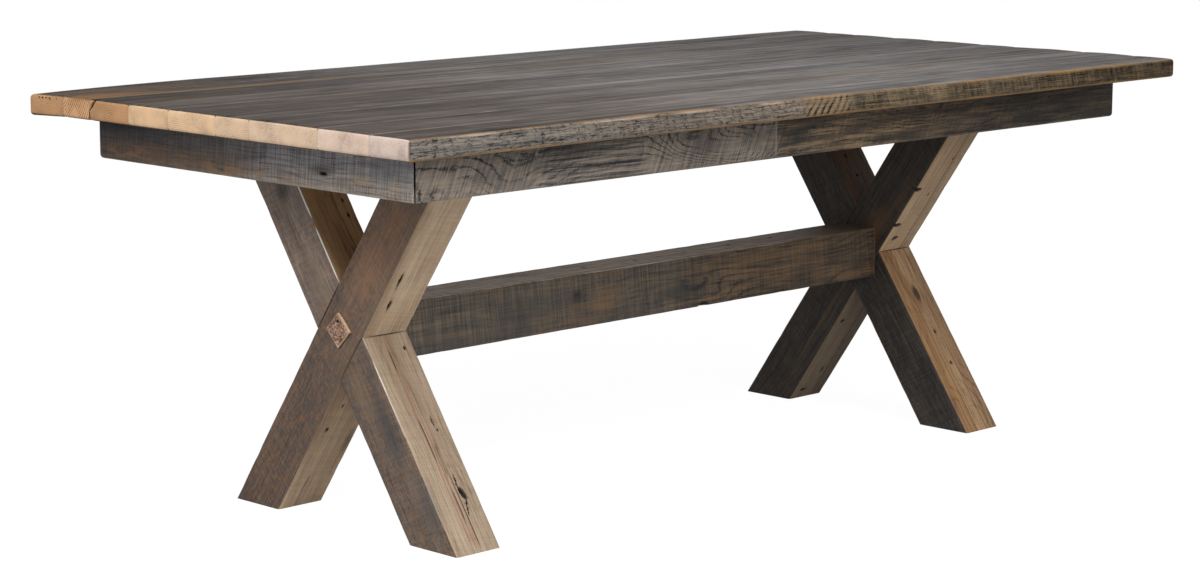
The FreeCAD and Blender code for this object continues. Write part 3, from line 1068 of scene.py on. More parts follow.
@dataclass
class TableTop:
    """The nine planks of the top, counted from the far side: how light each is, its end wood and its end rings."""

    count: int = 9
    upper: float = 0.0195
    lifts: tuple[int, ...] = (-3, -7, -9, 5, -6, 8, -1, 6, 1)
    end_woods: tuple[Rgb, ...] = (
        (172, 133, 98), (187, 146, 109), (168, 129, 95), (198, 166, 132), (198, 168, 136), (192, 165, 138),
        (191, 166, 142), (189, 167, 151), (184, 166, 155))
    end_rings: tuple[float, ...] = (0.3, 0.8, 0.35, 0.3, 0.3, 0.2, 0.2, 0.15, 0.15)
    edge: Tone = Tone(
        (40, 38, 38), (113, 105, 97), (152, 137, 120), streak=0.6, fibre=0.45, ring=0.1, blotch=0.4, saw=0.15,
        check=0.44, mottles=(Mottle((86, 84, 83), 0.35, 0.46, 0.64, (12.0, 60.0)),))
    slanted: Tone = Tone(
        (40, 36, 32), (122, 107, 88), (156, 134, 104), streak=0.5, fibre=0.3, blotch=0.4, saw=0.0, hatch=0.75,
        check=0.25)
    sawn: Tone = Tone(
        (34, 30, 26), (97, 87, 73), (137, 119, 95), streak=0.8, fibre=0.45, blotch=0.7, saw=0.25, kerf=0.13,
        check=0.22, mottles=(Mottle((58, 55, 51), 0.55, 0.48, 0.62, (22.0, 60.0)),))
    # This shift darkens the upper face towards the left end: painted sheen that grows to the right, with some of the
    # boards' own browner colour.
    worn: Shift = Shift(0, (
        (0.0, (178, 169, 162)), (0.2, (196, 189, 184)), (0.4, (246, 245, 244)), (0.6, (255, 255, 255)),
        (1.0, (240, 240, 240))), Face.BED_HIGH)
    # The near edge darkens towards the right end: painted light falloff, and partly the wood's own colour.
    edge_light_falloff: Shift = Shift(0, (
        (0.0, (238, 241, 244)), (0.12, (238, 241, 243)), (0.25, (230, 229, 227)), (0.5, (236, 232, 226)),
        (0.75, (232, 226, 216)), (1.0, (190, 184, 176))), Face.SIDE_LOW)

    def lifted(self, number: int, *colours: Rgb) -> tuple[Rgb, ...]:
        """Return colours made a little lighter or darker, as one plank differs from its neighbours."""
        lift = self.lifts[number - 1]
        return tuple(tuple(part + lift for part in colour) for colour in colours)

    def top_tone(self, number: int) -> Tone:
        """Return the worn upper face of one plank, its greys partly painted sheen, since the planks are given almost
        no specular.
        """
        shades = self.lifted(number, (52, 50, 49), (101, 98, 97), (135, 130, 126))
        return Tone(*shades, streak=1.3, fibre=0.6, ring=0.25, blotch=0.6, saw=0.15, mottles=each(
            Mottle, ((70, 68, 68), 0.5, 0.52, 0.68, (0.7, 26.0)), ((132, 112, 90), 0.4, 0.57, 0.7, (0.8, 22.0))))

    def end_tone(self, number: int) -> Tone:
        """Mix the sawn end of one plank.

        Args:
            number: The plank's number.

        Returns:
            The tone.
        """
        mid = self.end_woods[number - 1]
        dark = tuple(int(part * 0.7) for part in mid)
        light = tuple(min(235, int(part * 1.1)) for part in mid)
        return Tone(dark, mid, light, streak=0.3, fibre=0.3, ring=self.end_rings[number - 1], blotch=1.2, saw=0.0)

    def stains(self, number: int) -> tuple[Patch, ...]:
        """List the marks on one plank: brown stains above, a dark line down the near left corner, and painted
        highlights along the near arris.

        Args:
            number: The plank's number.

        Returns:
            The stains.
        """
        up = self.upper
        # pale holds light strips along the near upper arris, painted highlights.
        pale = (((place, -0.049, 0.0145), (reach, 0.006, 0.0032), (178, 160, 144), 0.5, 0.2, 0.9)
                for place, reach in ((-0.92, 0.1), (-0.6, 0.12), (-0.4, 0.08), (-0.2, 0.05)))
        rows = {
            1: (((-0.95, -0.02, up), (0.3, 0.05, 0.01), (98, 76, 56), 0.55),
                ((-0.6, -0.01, up), (0.12, 0.02, 0.01), (34, 29, 27), 0.7),
                ((-0.82, 0.02, up), (0.1, 0.015, 0.01), (38, 32, 29), 0.6)),
            2: (((-1.04, -0.008, up), (0.2, 0.045, 0.01), (132, 100, 66), 0.7),
                ((-0.75, -0.034, up), (0.7, 0.008, 0.01), (130, 98, 62), 0.7, 0.3, 0.4)),
            3: (((-0.9, -0.03, up), (0.25, 0.03, 0.01), (86, 68, 52), 0.4),),
            5: (((-0.55, 0.01, up), (0.35, 0.02, 0.01), (96, 74, 56), 0.35),),
            self.count: (((-1.067, -0.049, 0.0), (0.005, 0.006, 0.05), (58, 46, 36), 0.9, 0.3, 0.1), *pale),
        }
        return each(Patch, *rows.get(number, ()))

    @staticmethod
    def holes(number: int) -> tuple[Dent, ...]:
        """List the marks in a plank's left end: a row of small ones, and a gash at a joint.

        Args:
            number: The plank's number.

        Returns:
            The marks.
        """
        row = ((0.022, 0.0055), (0.011, 0.0065), (0.0, 0.005), (-0.012, 0.006), (-0.033, 0.003))
        rows = {
            1: (((place, 0.0118), (width, 0.0022), 0.002, 0.1, (1.4, 0.3)) for place, width in row),
            3: (((0.0475, 0.0105), (0.0048, 0.03), 0.011, 0.75, (1.25, 0.6)),
                ((0.0572, -0.009), (0.0034, 0.019), 0.006, 0.0, (1.3, 0.5))),
        }
        return tuple(Dent(Face.END_LOW, *mark) for mark in rows.get(number, ()))

    def wood(self, number: int) -> Wood:
        """Choose the finish of one plank.

        Args:
            number: The plank's number.

        Returns:
            The finish.
        """
        end, near, ringed = self.end_tone(number), number == self.count, number == 2
        under = Tone(*self.lifted(number, (62, 50, 40), (98, 80, 62), (130, 108, 84)), saw=0.08, blotch=0.8)
        faces = [(Face.BED_LOW, under), (Face.END_LOW, end), (Face.END_HIGH, end)]
        if number == 1:
            faces.append((Face.SIDE_HIGH, self.edge))
        spans, shifts = (), (self.worn,)
        arris = {"arris": (136, 112, 86), "arris_strength": 0.4, "arris_reach": 0.0035, "arris_break": 0.02}
        if near:
            faces.append((Face.SIDE_LOW, self.edge))
            spans = each(Span, (-0.115, 0.02, self.slanted, 0.02, Face.SIDE_LOW),
                         (0.01, 1.3, self.sawn, 0.03, Face.SIDE_LOW))
            shifts += (self.edge_light_falloff,)
            arris = {"arris": (152, 118, 80), "arris_strength": 0.7, "arris_reach": 0.0075, "arris_break": 0.014}
        pith = (0.11, 0.07) if ringed else ((number * 37 % 11 - 5) * 0.012, -0.05 - (number * 53 % 7) * 0.02)
        grain = Grain(pith=pith, spacing=0.0052 if ringed else 0.0038, waver=0.01, along=1.4, saw_pitch=0.007,
                      saw_slant=0.35, streak=0.8, kerf_slant=-0.35, hatch_pitch=0.0185, hatch_slant=-0.6)
        return Wood(f"top_plank_wood_{number}", self.top_tone(number), tuple(faces), spans=spans, grain=grain,
                    shifts=shifts, patches=self.stains(number), dents=self.holes(number), seed=number * 2 + 3,
                    end_arris=False, roughness=0.6, specular=0.01, relief=0.0008, **arris)

    def build(self) -> None:
        """Build every plank."""
        for number in range(1, self.count + 1):
            node = f"top_plank_{number}"
            outer = 1 if number == 1 else -1 if number == self.count else 0
            TopPlank(f"plank_{number}", node, "top_boards", Bed.of_node(node), self.wood(number), cell=(0.012, 0.009),
                     wear=0.0006, bow=0.0, outer=outer, dip=0.0045 if number == 1 else 0.0).build()


@dataclass
class ApronFrame:
    """The four mitred boards under the top, whose shown face is a given depth from the middle."""

    face: float = -0.0125
    pith: Pair = (0.05, -0.3)
    curly: Tone = Tone(
        (28, 26, 25), (101, 94, 88), (142, 130, 117), streak=0.3, fibre=0.4, ring=0.65, blotch=0.5, saw=0.45,
        mottles=(Mottle((74, 72, 71), 0.5, 0.48, 0.62, (9.0, 26.0)),))
    lined: Tone = Tone(
        (26, 25, 25), (88, 83, 79), (140, 131, 120), streak=1.1, fibre=1.1, ring=0.3, blotch=0.4, saw=0.15)
    dark_brown: Tone = Tone(
        (24, 22, 20), (82, 72, 62), (128, 109, 86), streak=0.9, fibre=1.0, ring=0.45, blotch=0.8, saw=0.2,
        mottles=(Mottle((34, 33, 32), 0.65, 0.46, 0.6, (6.0, 50.0)),))
    sawn: Tone = Tone(
        (30, 28, 28), (130, 126, 126), (180, 175, 173), streak=0.3, fibre=0.42, ring=0.15, blotch=0.6, saw=0.32,
        mottles=(Mottle((82, 82, 88), 0.5, 0.5, 0.64, (5.0, 16.0)),))

    def near_wood(self) -> Wood:
        """Choose the near board: a curly length, a lined one, a curly one and a dark brown one.

        Returns:
            The finish.
        """
        face = self.face
        knots = each(
            Knot, ((-0.93, face, -0.05), (0.1, 0.05, 0.075), 3.5), ((-0.74, face, -0.06), (0.17, 0.05, 0.11), 4.0),
            ((-0.32, face, 0.01), (0.14, 0.05, 0.06), 5.0), ((-0.2, face, -0.02), (0.12, 0.05, 0.05), 5.0),
            ((0.33, face, 0.02), (0.2, 0.05, 0.06), 4.0))
        spans = each(Span, (-0.695, -0.44, self.lined, 0.022), (-0.093, 1.3, self.dark_brown, 0.02))
        # run darkens the board towards the right end: partly its own colour, partly painted light falloff.
        run = Shift(0, (
            (0.0, (250, 248, 246)), (0.2, (250, 248, 246)), (0.3, (234, 233, 231)), (0.45, (232, 231, 229)),
            (0.5, (250, 244, 236)), (0.62, (250, 240, 224)), (0.7, (190, 184, 176)), (0.85, (162, 158, 152)),
            (1.0, (156, 152, 146))))
        patches = each(
            Patch,
            ((-0.44, face, 0.012), (0.004, 0.02, 0.018), (150, 140, 128), 0.5, 0.2, 0.5),
            ((-0.093, face, 0.0), (0.0032, 0.02, 0.06), (146, 132, 116), 0.5, 0.2, 0.5),
            ((-0.28, face, 0.0), (0.05, 0.02, 0.025), (64, 61, 60), 0.55),
            ((-0.62, face, 0.02), (0.1, 0.02, 0.02), (52, 50, 50), 0.5))
        grain = Grain(pith=self.pith, spacing=0.015, waver=0.025, along=4.0, line=0.34, ragged=0.9, saw_pitch=0.0036,
                      saw_slant=-0.45, knots=knots)
        return Wood("apron_near_wood", self.curly, spans=spans, grain=grain, shifts=(run,), patches=patches, seed=5,
                    arris=(142, 122, 98), arris_strength=0.5)

    def left_wood(self) -> Wood:
        """Choose the left board: black above at the far end, blue-grey to the near end, brown flecks below.

        Returns:
            The finish.
        """
        face = self.face
        run = Shift(0, (
            (0.0, (140, 132, 130)), (0.2, (150, 143, 141)), (0.42, (190, 184, 180)), (0.58, (238, 236, 238)),
            (0.8, (255, 255, 255)), (1.0, (255, 255, 255))))
        # rise is browner at the bottom, the board's own colour, and darker and bluer at the top, painted shade under
        # the top's overhang.
        rise = Shift(2, (
            (0.0, (255, 246, 232)), (0.35, (255, 252, 246)), (0.6, (250, 252, 255)), (1.0, (230, 232, 238))))
        patches = each(
            Patch,
            ((-0.2, face, -0.028), (0.36, 0.02, 0.03), (124, 96, 68), 0.75, 0.1, 0.9, True),
            ((-0.24, face, -0.02), (0.26, 0.02, 0.026), (104, 80, 62), 0.5),
            ((0.1, face, -0.03), (0.3, 0.02, 0.022), (134, 110, 82), 0.5, 0.1, 0.9, True),
            ((0.33, face, -0.024), (0.14, 0.02, 0.024), (182, 152, 104), 0.65, 0.1, 0.9, True),
            ((-0.4, face, 0.03), (0.16, 0.02, 0.03), (28, 25, 25), 0.75),
            ((0.205, face, -0.006), (0.05, 0.02, 0.012), (48, 46, 48), 0.6))
        nail = Dent(Face.SIDE_LOW, (0.208, -0.0118), (0.018, 0.006))
        grain = Grain(pith=self.pith, spacing=0.01, waver=0.03, along=4.0, line=0.35, ragged=0.6, saw_pitch=0.0028,
                      saw_slant=-0.1, knots=(Knot((-0.3, face, 0.0), (0.12, 0.05, 0.045), 3.0),))
        return Wood("apron_left_wood", self.sawn, grain=grain, shifts=(run, rise), patches=patches, dents=(nail,),
                    seed=14, arris=(176, 146, 106), arris_strength=0.75, arris_break=0.008)

    def plain_wood(self, name: str, tone: Tone, seed: int) -> Wood:
        """Return a board of the sides that are turned away."""
        grain = Grain(pith=self.pith, spacing=0.011, waver=0.05, along=3.0, line=0.36, ragged=0.9, saw_pitch=0.005)
        return Wood(f"{name}_wood", tone, grain=grain, seed=seed, arris=(150, 126, 98))

    def build(self) -> None:
        """Build the two long boards and the two short ones."""
        woods = {"near_side": self.near_wood(), "far_side": self.plain_wood("apron_far", self.curly, 9),
                 "left_end": self.left_wood(), "right_end": self.plain_wood("apron_right", self.sawn, 21)}
        for place, wood in woods.items():
            node = f"apron_{place}"
            bed = Bed.of_node(node) if place.endswith("side") else Bed.of_cross_node(node)
            outward = -1 if place in ("near_side", "left_end") else 1
            ApronBoard(f"{node}_board", node, "apron_boards", bed, wood, cell=(0.008, 0.008), outward=outward).build()


@dataclass
class Trestle:
    """Two leaning legs that are lapped into each other, and the peg that covers their bolt."""

    end: End
    half: float = 0.0525
    spare: float = 0.004
    flecks: tuple[Mottle, ...] = each(
        Mottle, ((144, 102, 68), 0.5, 0.5, 0.62, (75.0, 150.0)), ((74, 69, 68), 0.45, 0.52, 0.64, (60.0, 130.0)),
        ((128, 118, 110), 0.35, 0.54, 0.64, (90.0, 190.0)))
    weathered: Tone = Tone(
        (52, 43, 38), (105, 87, 74), (142, 120, 100), streak=0.3, fibre=0.5, ring=0.08, blotch=0.5, saw=0.22,
        mottles=(Mottle((80, 74, 71), 0.5, 0.5, 0.66), *flecks))
    bleached: Tone = Tone(
        (60, 53, 49), (128, 113, 103), (168, 152, 139), streak=0.35, fibre=0.55, ring=0.08, blotch=0.5, saw=0.14,
        mottles=(Mottle((84, 82, 82), 0.5, 0.48, 0.64), *flecks))
    tan: Tone = Tone(
        (106, 84, 62), (158, 136, 111), (186, 164, 137), streak=0.5, fibre=0.5, ring=0.12, blotch=0.4, saw=0.09,
        mottles=(Mottle((132, 106, 76), 0.4, 0.5, 0.7, (1.6, 12.0)),))
    orange: Tone = Tone(
        (88, 64, 42), (134, 108, 80), (162, 136, 106), streak=1.1, fibre=0.75, ring=0.35, blotch=0.4, saw=0.1,
        mottles=(Mottle((112, 78, 46), 0.4, 0.5, 0.7, (1.6, 12.0)),))
    shaded: Tone = Tone(
        (20, 18, 17), (46, 41, 37), (78, 67, 56), streak=0.5, fibre=0.65, ring=0.22, blotch=0.5, saw=0.22,
        mottles=each(Mottle, ((74, 58, 42), 0.3, 0.55, 0.7), ((64, 56, 49), 0.4, 0.52, 0.64, (40.0, 120.0)),
                     ((26, 24, 23), 0.5, 0.53, 0.65, (26.0, 90.0))))
    peg_end: Tone = Tone(
        (82, 54, 40), (160, 128, 108), (216, 186, 164), streak=0.3, fibre=1.6, ring=0.0, saw=0.4,
        mottles=each(
            Mottle, ((150, 92, 58), 0.5, 0.5, 0.62, (60.0, 90.0)), ((84, 54, 40), 0.75, 0.52, 0.6, (60.0, 190.0)),
            ((216, 184, 162), 0.6, 0.54, 0.62, (60.0, 230.0))))
    peg_lit: Tone = Tone((150, 112, 78), (206, 166, 126), (232, 200, 164))
    peg_dim: Tone = Tone((24, 18, 15), (44, 32, 26), (70, 50, 40))

    def side(self) -> str:
        """Return the end's name as the nodes have it."""
        return self.end.name.lower()

    def lean(self) -> float:
        """Work out the legs' lean from the size of one leg.

        Returns:
            The angle from upright.
        """
        low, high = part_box(f"{self.side()}_leg_near_top")
        reach = math.hypot(high.y, high.z / 2)
        return math.acos((high.x - low.x) / 2 / reach) - math.atan2(high.z / 2, high.y)

    def bed(self, top: Top) -> Bed:
        """Work out the bed of one leg, its grain up and its width towards the near side.

        Args:
            top: Which side the leg's top is on.

        Returns:
            The bed, long enough to be sawn level at both ends.
        """
        low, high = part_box(f"{self.side()}_leg_{top.name.lower()}_top")
        lean = self.lean()
        half = (high.x - low.x) / 2
        run = Vector((0.0, top.value * math.sin(lean), math.cos(lean)))
        across = Vector((0.0, -math.cos(lean), top.value * math.sin(lean)))
        turn = Matrix((run, across, Vector((1.0, 0.0, 0.0)))).transposed()
        length = high.z / 2 / math.cos(lean) + half * math.tan(lean) + self.spare
        return Bed((low + high) / 2, Vector((length, half, half)), turn)

    def wood(self, top: Top) -> Wood:
        """Return the finish of one leg."""
        return {
            (End.LEFT, Top.NEAR): self.left_near_wood,
            (End.LEFT, Top.FAR): self.left_far_wood,
            (End.RIGHT, Top.NEAR): self.right_near_wood,
            (End.RIGHT, Top.FAR): self.right_far_wood,
        }[self.end, top]()

    @staticmethod
    def nails(face: Face, *marks: tuple[float, float, float, float]) -> tuple[Dent, ...]:
        """Return nail holes in a face, each given by its place along and across and its length and width."""
        return tuple(Dent(face, mark[:2], mark[2:]) for mark in marks)

    @staticmethod
    def shakes(places: Sequence[float], *shared: object) -> tuple[Crack, ...]:
        """Return shakes in the near side at these places across it, which share the rest of their values."""
        return tuple(Crack(Face.SIDE_HIGH, place, *shared) for place in places)

    def left_near_wood(self) -> Wood:
        """Choose the left leg whose top is near: brown, with two iron-stained nail holes in its tan side.

        Returns:
            The finish.
        """
        half = self.half
        dents = self.nails(Face.SIDE_HIGH, (0.109, -0.0246, 0.021, 0.0062), (0.169, -0.0276, 0.03, 0.0056),
                           (-0.198, -0.0276, 0.009, 0.006), (-0.14, -0.0165, 0.007, 0.004))
        dents += self.nails(Face.SIDE_LOW, (0.22, 0.02, 0.012, 0.006), (-0.26, -0.015, 0.009, 0.006))
        cracks = self.shakes((-0.012,), -0.42, -0.31, 0.002, 0.02, 0.7, (84, 54, 40))
        patches = each(
            Patch,
            ((-0.24, 0.05, 0.04), (0.05, 0.02, 0.012), (84, 72, 60), 0.7),
            ((0.2, 0.0, -0.05), (0.24, 0.05, 0.02), (140, 106, 82), 0.5),
            ((0.36, 0.02, -0.05), (0.08, 0.04, 0.02), (92, 82, 78), 0.6),
            ((0.0, 0.05, -0.05), (0.5, 0.006, 0.01), (72, 62, 56), 0.5),
            # The next two near-black lines along the arrises at the crossing are painted shadow in the seam of the
            # half lap.
            ((-0.02, half, -half), (0.07, 0.0055, 0.0055), (16, 12, 10), 2.0, 0.7, 0.0),
            ((0.02, -half, -half), (0.07, 0.0045, 0.0045), (24, 18, 15), 2.0, 0.6, 0.0),
            ((0.1, 0.05, -0.047), (0.4, 0.03, 0.012), (126, 104, 82), 0.5))
        fade = Shift(0, (
            (0.0, (212, 208, 208)), (0.35, (222, 218, 216)), (0.6, (255, 253, 250)), (1.0, (255, 252, 248))),
            Face.BED_LOW)
        pale = replace(self.tan, mid=(166, 143, 118), light=(194, 172, 145))
        return Wood("left_near_leg_wood", pale, ((Face.BED_LOW, self.weathered), (Face.BED_HIGH, self.shaded)),
                    grain=Grain(saw_pitch=0.0055, saw_slant=0.22), shifts=(fade,), patches=patches, cracks=cracks,
                    dents=dents, seed=31, arris=(150, 128, 104), arris_strength=0.1)

    def left_far_wood(self) -> Wood:
        """Choose the left leg whose top is far: long shakes and a knot hole in its tan side.

        Returns:
            The finish.
        """
        half = self.half
        dents = each(Dent, (Face.SIDE_HIGH, (-0.359, 0.0206), (0.026, 0.012), 0.009, 0.3, (1.5, 0.6)),
                     (Face.SIDE_HIGH, (-0.385, 0.0185), (0.034, 0.0036), 0.005, -0.25, (1.4, 0.5)),
                     (Face.SIDE_HIGH, (-0.334, 0.0165), (0.03, 0.0034), 0.005, -0.12, (1.4, 0.5)))
        dents += self.nails(
            Face.SIDE_HIGH, (-0.216, 0.0217, 0.017, 0.0034), (-0.234, 0.0246, 0.005, 0.003),
            (-0.069, 0.0305, 0.007, 0.005), (0.205, 0.0335, 0.008, 0.005), (0.236, 0.0345, 0.006, 0.004))
        dents += self.nails(Face.SIDE_LOW, (-0.3, 0.02, 0.012, 0.006), (0.1, -0.03, 0.008, 0.006))
        red, black = (0.003, 0.009, 0.6, (128, 86, 70)), (0.0018, 0.009, 0.9, (44, 29, 23))
        cracks = tuple(Crack(Face.SIDE_HIGH, *run, *kind) for *run, kind in (
            (-0.008, -0.46, -0.035, red), (0.0, -0.47, -0.035, red), (0.009, -0.46, -0.2, red),
            (-0.0005, -0.16, -0.035, black), (-0.008, -0.12, -0.06, black), (0.0045, -0.215, -0.13, black),
            (0.004, -0.33, -0.245, black), (-0.007, -0.3, -0.2, black), (0.0095, -0.47, -0.31, black),
            (0.0005, -0.42, -0.34, black)))
        cracks += self.shakes((0.016, 0.006, -0.006, -0.016), 0.06, 0.4, 0.0022, 0.04, 0.6, (52, 34, 22))
        cracks += (Crack(Face.BED_LOW, 0.024, -0.25, -0.2, 0.0014, 0.1, 0.9, (40, 34, 30)),)
        patches = each(
            Patch,
            ((-0.22, 0.02, -0.05), (0.12, 0.035, 0.02), (64, 62, 62), 0.75),
            ((-0.36, 0.03, -0.05), (0.1, 0.04, 0.02), (74, 72, 72), 0.6),
            ((-0.12, -0.01, -0.05), (0.09, 0.035, 0.02), (124, 104, 80), 0.4),
            ((0.1, 0.004, -0.05), (0.14, 0.03, 0.02), (134, 114, 92), 0.4),
            ((0.29, 0.01, -0.05), (0.04, 0.03, 0.02), (46, 46, 48), 0.8),
            # This dark line across the side is painted shadow in the seam of the half lap.
            ((-0.0372, half, 0.0), (0.0022, 0.006, 0.07), (34, 24, 18), 0.95, 0.3, 0.05),
            # The next two thin light lines along this arris are painted highlights, the glint of the rounded edge.
            ((0.22, half, -half), (0.26, 0.003, 0.003), (250, 246, 242), 1.6, 0.7, 0.0),
            ((-0.16, half, -half), (0.3, 0.0025, 0.0025), (218, 209, 201), 1.1, 0.5, 0.1))
        shifts = each(
            Shift,
            (0, ((0.0, (226, 228, 234)), (0.5, (226, 228, 234)), (0.56, (244, 230, 208)), (1.0, (238, 224, 202))),
             Face.SIDE_HIGH),
            (0, ((0.0, (232, 236, 240)), (0.45, (232, 236, 240)), (0.6, (255, 255, 255)), (1.0, (255, 255, 255))),
             Face.BED_LOW))
        # The light arris colour of this leg is a painted highlight along its arrises.
        return Wood("left_far_leg_wood", self.tan, ((Face.BED_LOW, self.weathered), (Face.BED_HIGH, self.shaded)),
                    spans=(Span(0.04, 0.6, self.bleached, 0.04, Face.BED_LOW),),
                    grain=Grain(pith=(0.2, 0.05), waver=0.05, saw_pitch=0.005, saw_slant=0.2), shifts=shifts,
                    patches=patches, cracks=cracks, dents=dents, seed=37, arris=(222, 214, 206),
                    arris_strength=0.75, arris_reach=0.0021, arris_break=0.004)

    def right_near_wood(self) -> Wood:
        """Choose the right leg whose top is near: tan side with nail notches along its arris.

        Returns:
            The finish.
        """
        dents = tuple(Dent(Face.SIDE_HIGH, place, size, 0.007, turn, (1.6, 0.7)) for place, size, turn in (
            ((0.069, -0.023), (0.011, 0.017), 0.3), ((0.108, -0.042), (0.0095, 0.024), 0.0),
            ((0.207, -0.045), (0.0095, 0.022), 0.0), ((-0.376, -0.024), (0.009, 0.018), 0.0)))
        dents += self.nails(Face.SIDE_HIGH, (0.189, 0.002, 0.006, 0.004), (0.286, 0.015, 0.006, 0.004),
                            (-0.319, 0.002, 0.018, 0.005), (-0.169, -0.031, 0.009, 0.01))
        dents += self.nails(Face.BED_HIGH, (0.2, 0.02, 0.01, 0.006), (-0.3, -0.01, 0.008, 0.006))
        shifts = each(
            Shift,
            (0, ((0.0, (178, 184, 192)), (0.46, (176, 178, 182)), (0.52, (255, 254, 252)), (1.0, (244, 242, 240))),
             Face.SIDE_HIGH),
            (2, ((0.0, (255, 250, 242)), (0.64, (255, 252, 246)), (0.66, (180, 164, 146)), (0.69, (236, 232, 228)),
                 (1.0, (228, 226, 224))), Face.SIDE_HIGH))
        patches = each(
            Patch,
            ((-0.2, 0.02, -0.05), (0.2, 0.006, 0.02), (92, 72, 50), 0.5),
            ((0.07, 0.016, -0.05), (0.08, 0.036, 0.02), (90, 66, 45), 0.8),
            ((0.18, 0.03, -0.05), (0.13, 0.022, 0.02), (76, 59, 44), 0.55))
        cracks = self.shakes((0.016, 0.004, -0.012, -0.026), 0.04, 0.42, 0.0016, 0.03, 0.55, (92, 70, 50))
        return Wood("right_near_leg_wood", self.tan, ((Face.BED_LOW, self.shaded), (Face.BED_HIGH, self.weathered)),
                    grain=Grain(pith=(0.1, 0.2)), shifts=shifts, patches=patches, cracks=cracks, dents=dents, seed=47,
                    arris=(120, 96, 70), arris_strength=0.35)

    def right_far_wood(self) -> Wood:
        """Choose the right leg whose top is far: orange front, striped back and a knot in its side.

        Returns:
            The finish.
        """
        dim = replace(self.shaded, mid=(42, 39, 36), light=(72, 64, 55))
        dents = self.nails(Face.SIDE_HIGH, (-0.312, 0.0044, 0.008, 0.006), (-0.237, 0.0015, 0.008, 0.006),
                           (0.147, -0.004, 0.006, 0.005), (0.195, -0.012, 0.009, 0.006))
        dents += self.nails(Face.BED_HIGH, (-0.15, 0.015, 0.009, 0.006), (0.3, -0.02, 0.01, 0.006))
        patches = each(
            Patch,
            # This dark line across the side is painted shadow in the seam of the half lap.
            ((-0.0372, self.half, 0.0), (0.0025, 0.006, 0.07), (34, 24, 18), 0.95, 0.3, 0.05),
            ((-0.155, 0.05, -0.006), (0.05, 0.02, 0.02), (112, 76, 46), 0.9, 0.1, 0.3),
            ((-0.145, 0.05, 0.0), (0.026, 0.02, 0.013), (50, 31, 20), 1.3, 0.2, 0.2))
        cracks = self.shakes((0.047, 0.043, 0.038, 0.033, 0.027, 0.018), -0.5, -0.04, 0.0016, 0.02, 0.8, (84, 58, 38))
        # The first shift darkens the upper half of the near side: painted shade under the top.
        shifts = each(
            Shift,
            (0, ((0.0, (244, 240, 234)), (0.5, (240, 236, 230)), (0.56, (150, 142, 132)), (1.0, (140, 132, 122))),
             Face.SIDE_HIGH),
            (2, ((0.0, (238, 222, 198)), (0.33, (240, 224, 200)), (0.36, (196, 178, 156)), (0.38, (255, 252, 246)),
                 (1.0, (244, 240, 232))), Face.SIDE_HIGH))
        grain = Grain(pith=(-0.12, 0.1), spacing=0.007, waver=0.05, along=3.5, line=0.4, ragged=0.4)
        return Wood("right_far_leg_wood", self.orange, ((Face.BED_LOW, dim), (Face.BED_HIGH, self.weathered)),
                    grain=grain, shifts=shifts, patches=patches, cracks=cracks, dents=dents, seed=53,
                    arris=(128, 102, 74), arris_strength=0.4)

    def build(self) -> None:
        """Build both legs and the peg."""
        side = self.side()
        beds = {top: self.bed(top) for top in Top}
        low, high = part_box(f"{side}_leg_near_top")
        for top in Top:
            name = top.name.lower()
            other = beds[Top.FAR if top is Top.NEAR else Top.NEAR]
            Leg(f"{side}_{name}_leg", f"{side}_leg_{name}_top", "trestle_timber", beds[top], self.wood(top),
                floor=low.z, height=high.z, other_across=other.turn.col[1].copy(), keeps_low=top is Top.NEAR,
                wear=0.0007).build()
        self.peg()

    def peg(self) -> None:
        """Build the peg on its corner."""
        side = self.side()
        box = Bed.of_node(f"{side}_peg")
        width = box.half.y / math.sqrt(2)
        bed = Bed(box.middle, Vector((box.half.x, width, width)), Matrix.Rotation(math.radians(45), 3, "X"))
        # The light arris colour is a painted highlight on the chamfers; peg_lit and peg_dim are painted light and
        # painted shade on the two proud sides that show.
        wood = Wood(f"{side}_peg_wood", self.peg_end, ((Face.BED_HIGH, self.peg_lit), (Face.SIDE_LOW, self.peg_dim)),
                    grain=Grain(pith=(0.06, -0.05), spacing=0.003, waver=0.004), seed=70 + self.end.value,
                    dents=(Dent(Face.END_LOW, (0.011, 0.013), (0.005, 0.005), 0.002),), arris=(214, 182, 148),
                    arris_strength=0.7, arris_reach=0.003, arris_break=0.004)
        Peg(f"{side}_peg_block", f"{side}_peg", "peg_wood", bed, wood, cell=(0.003, 0.003), wear=0.0004,
            outward=self.end.value).build()


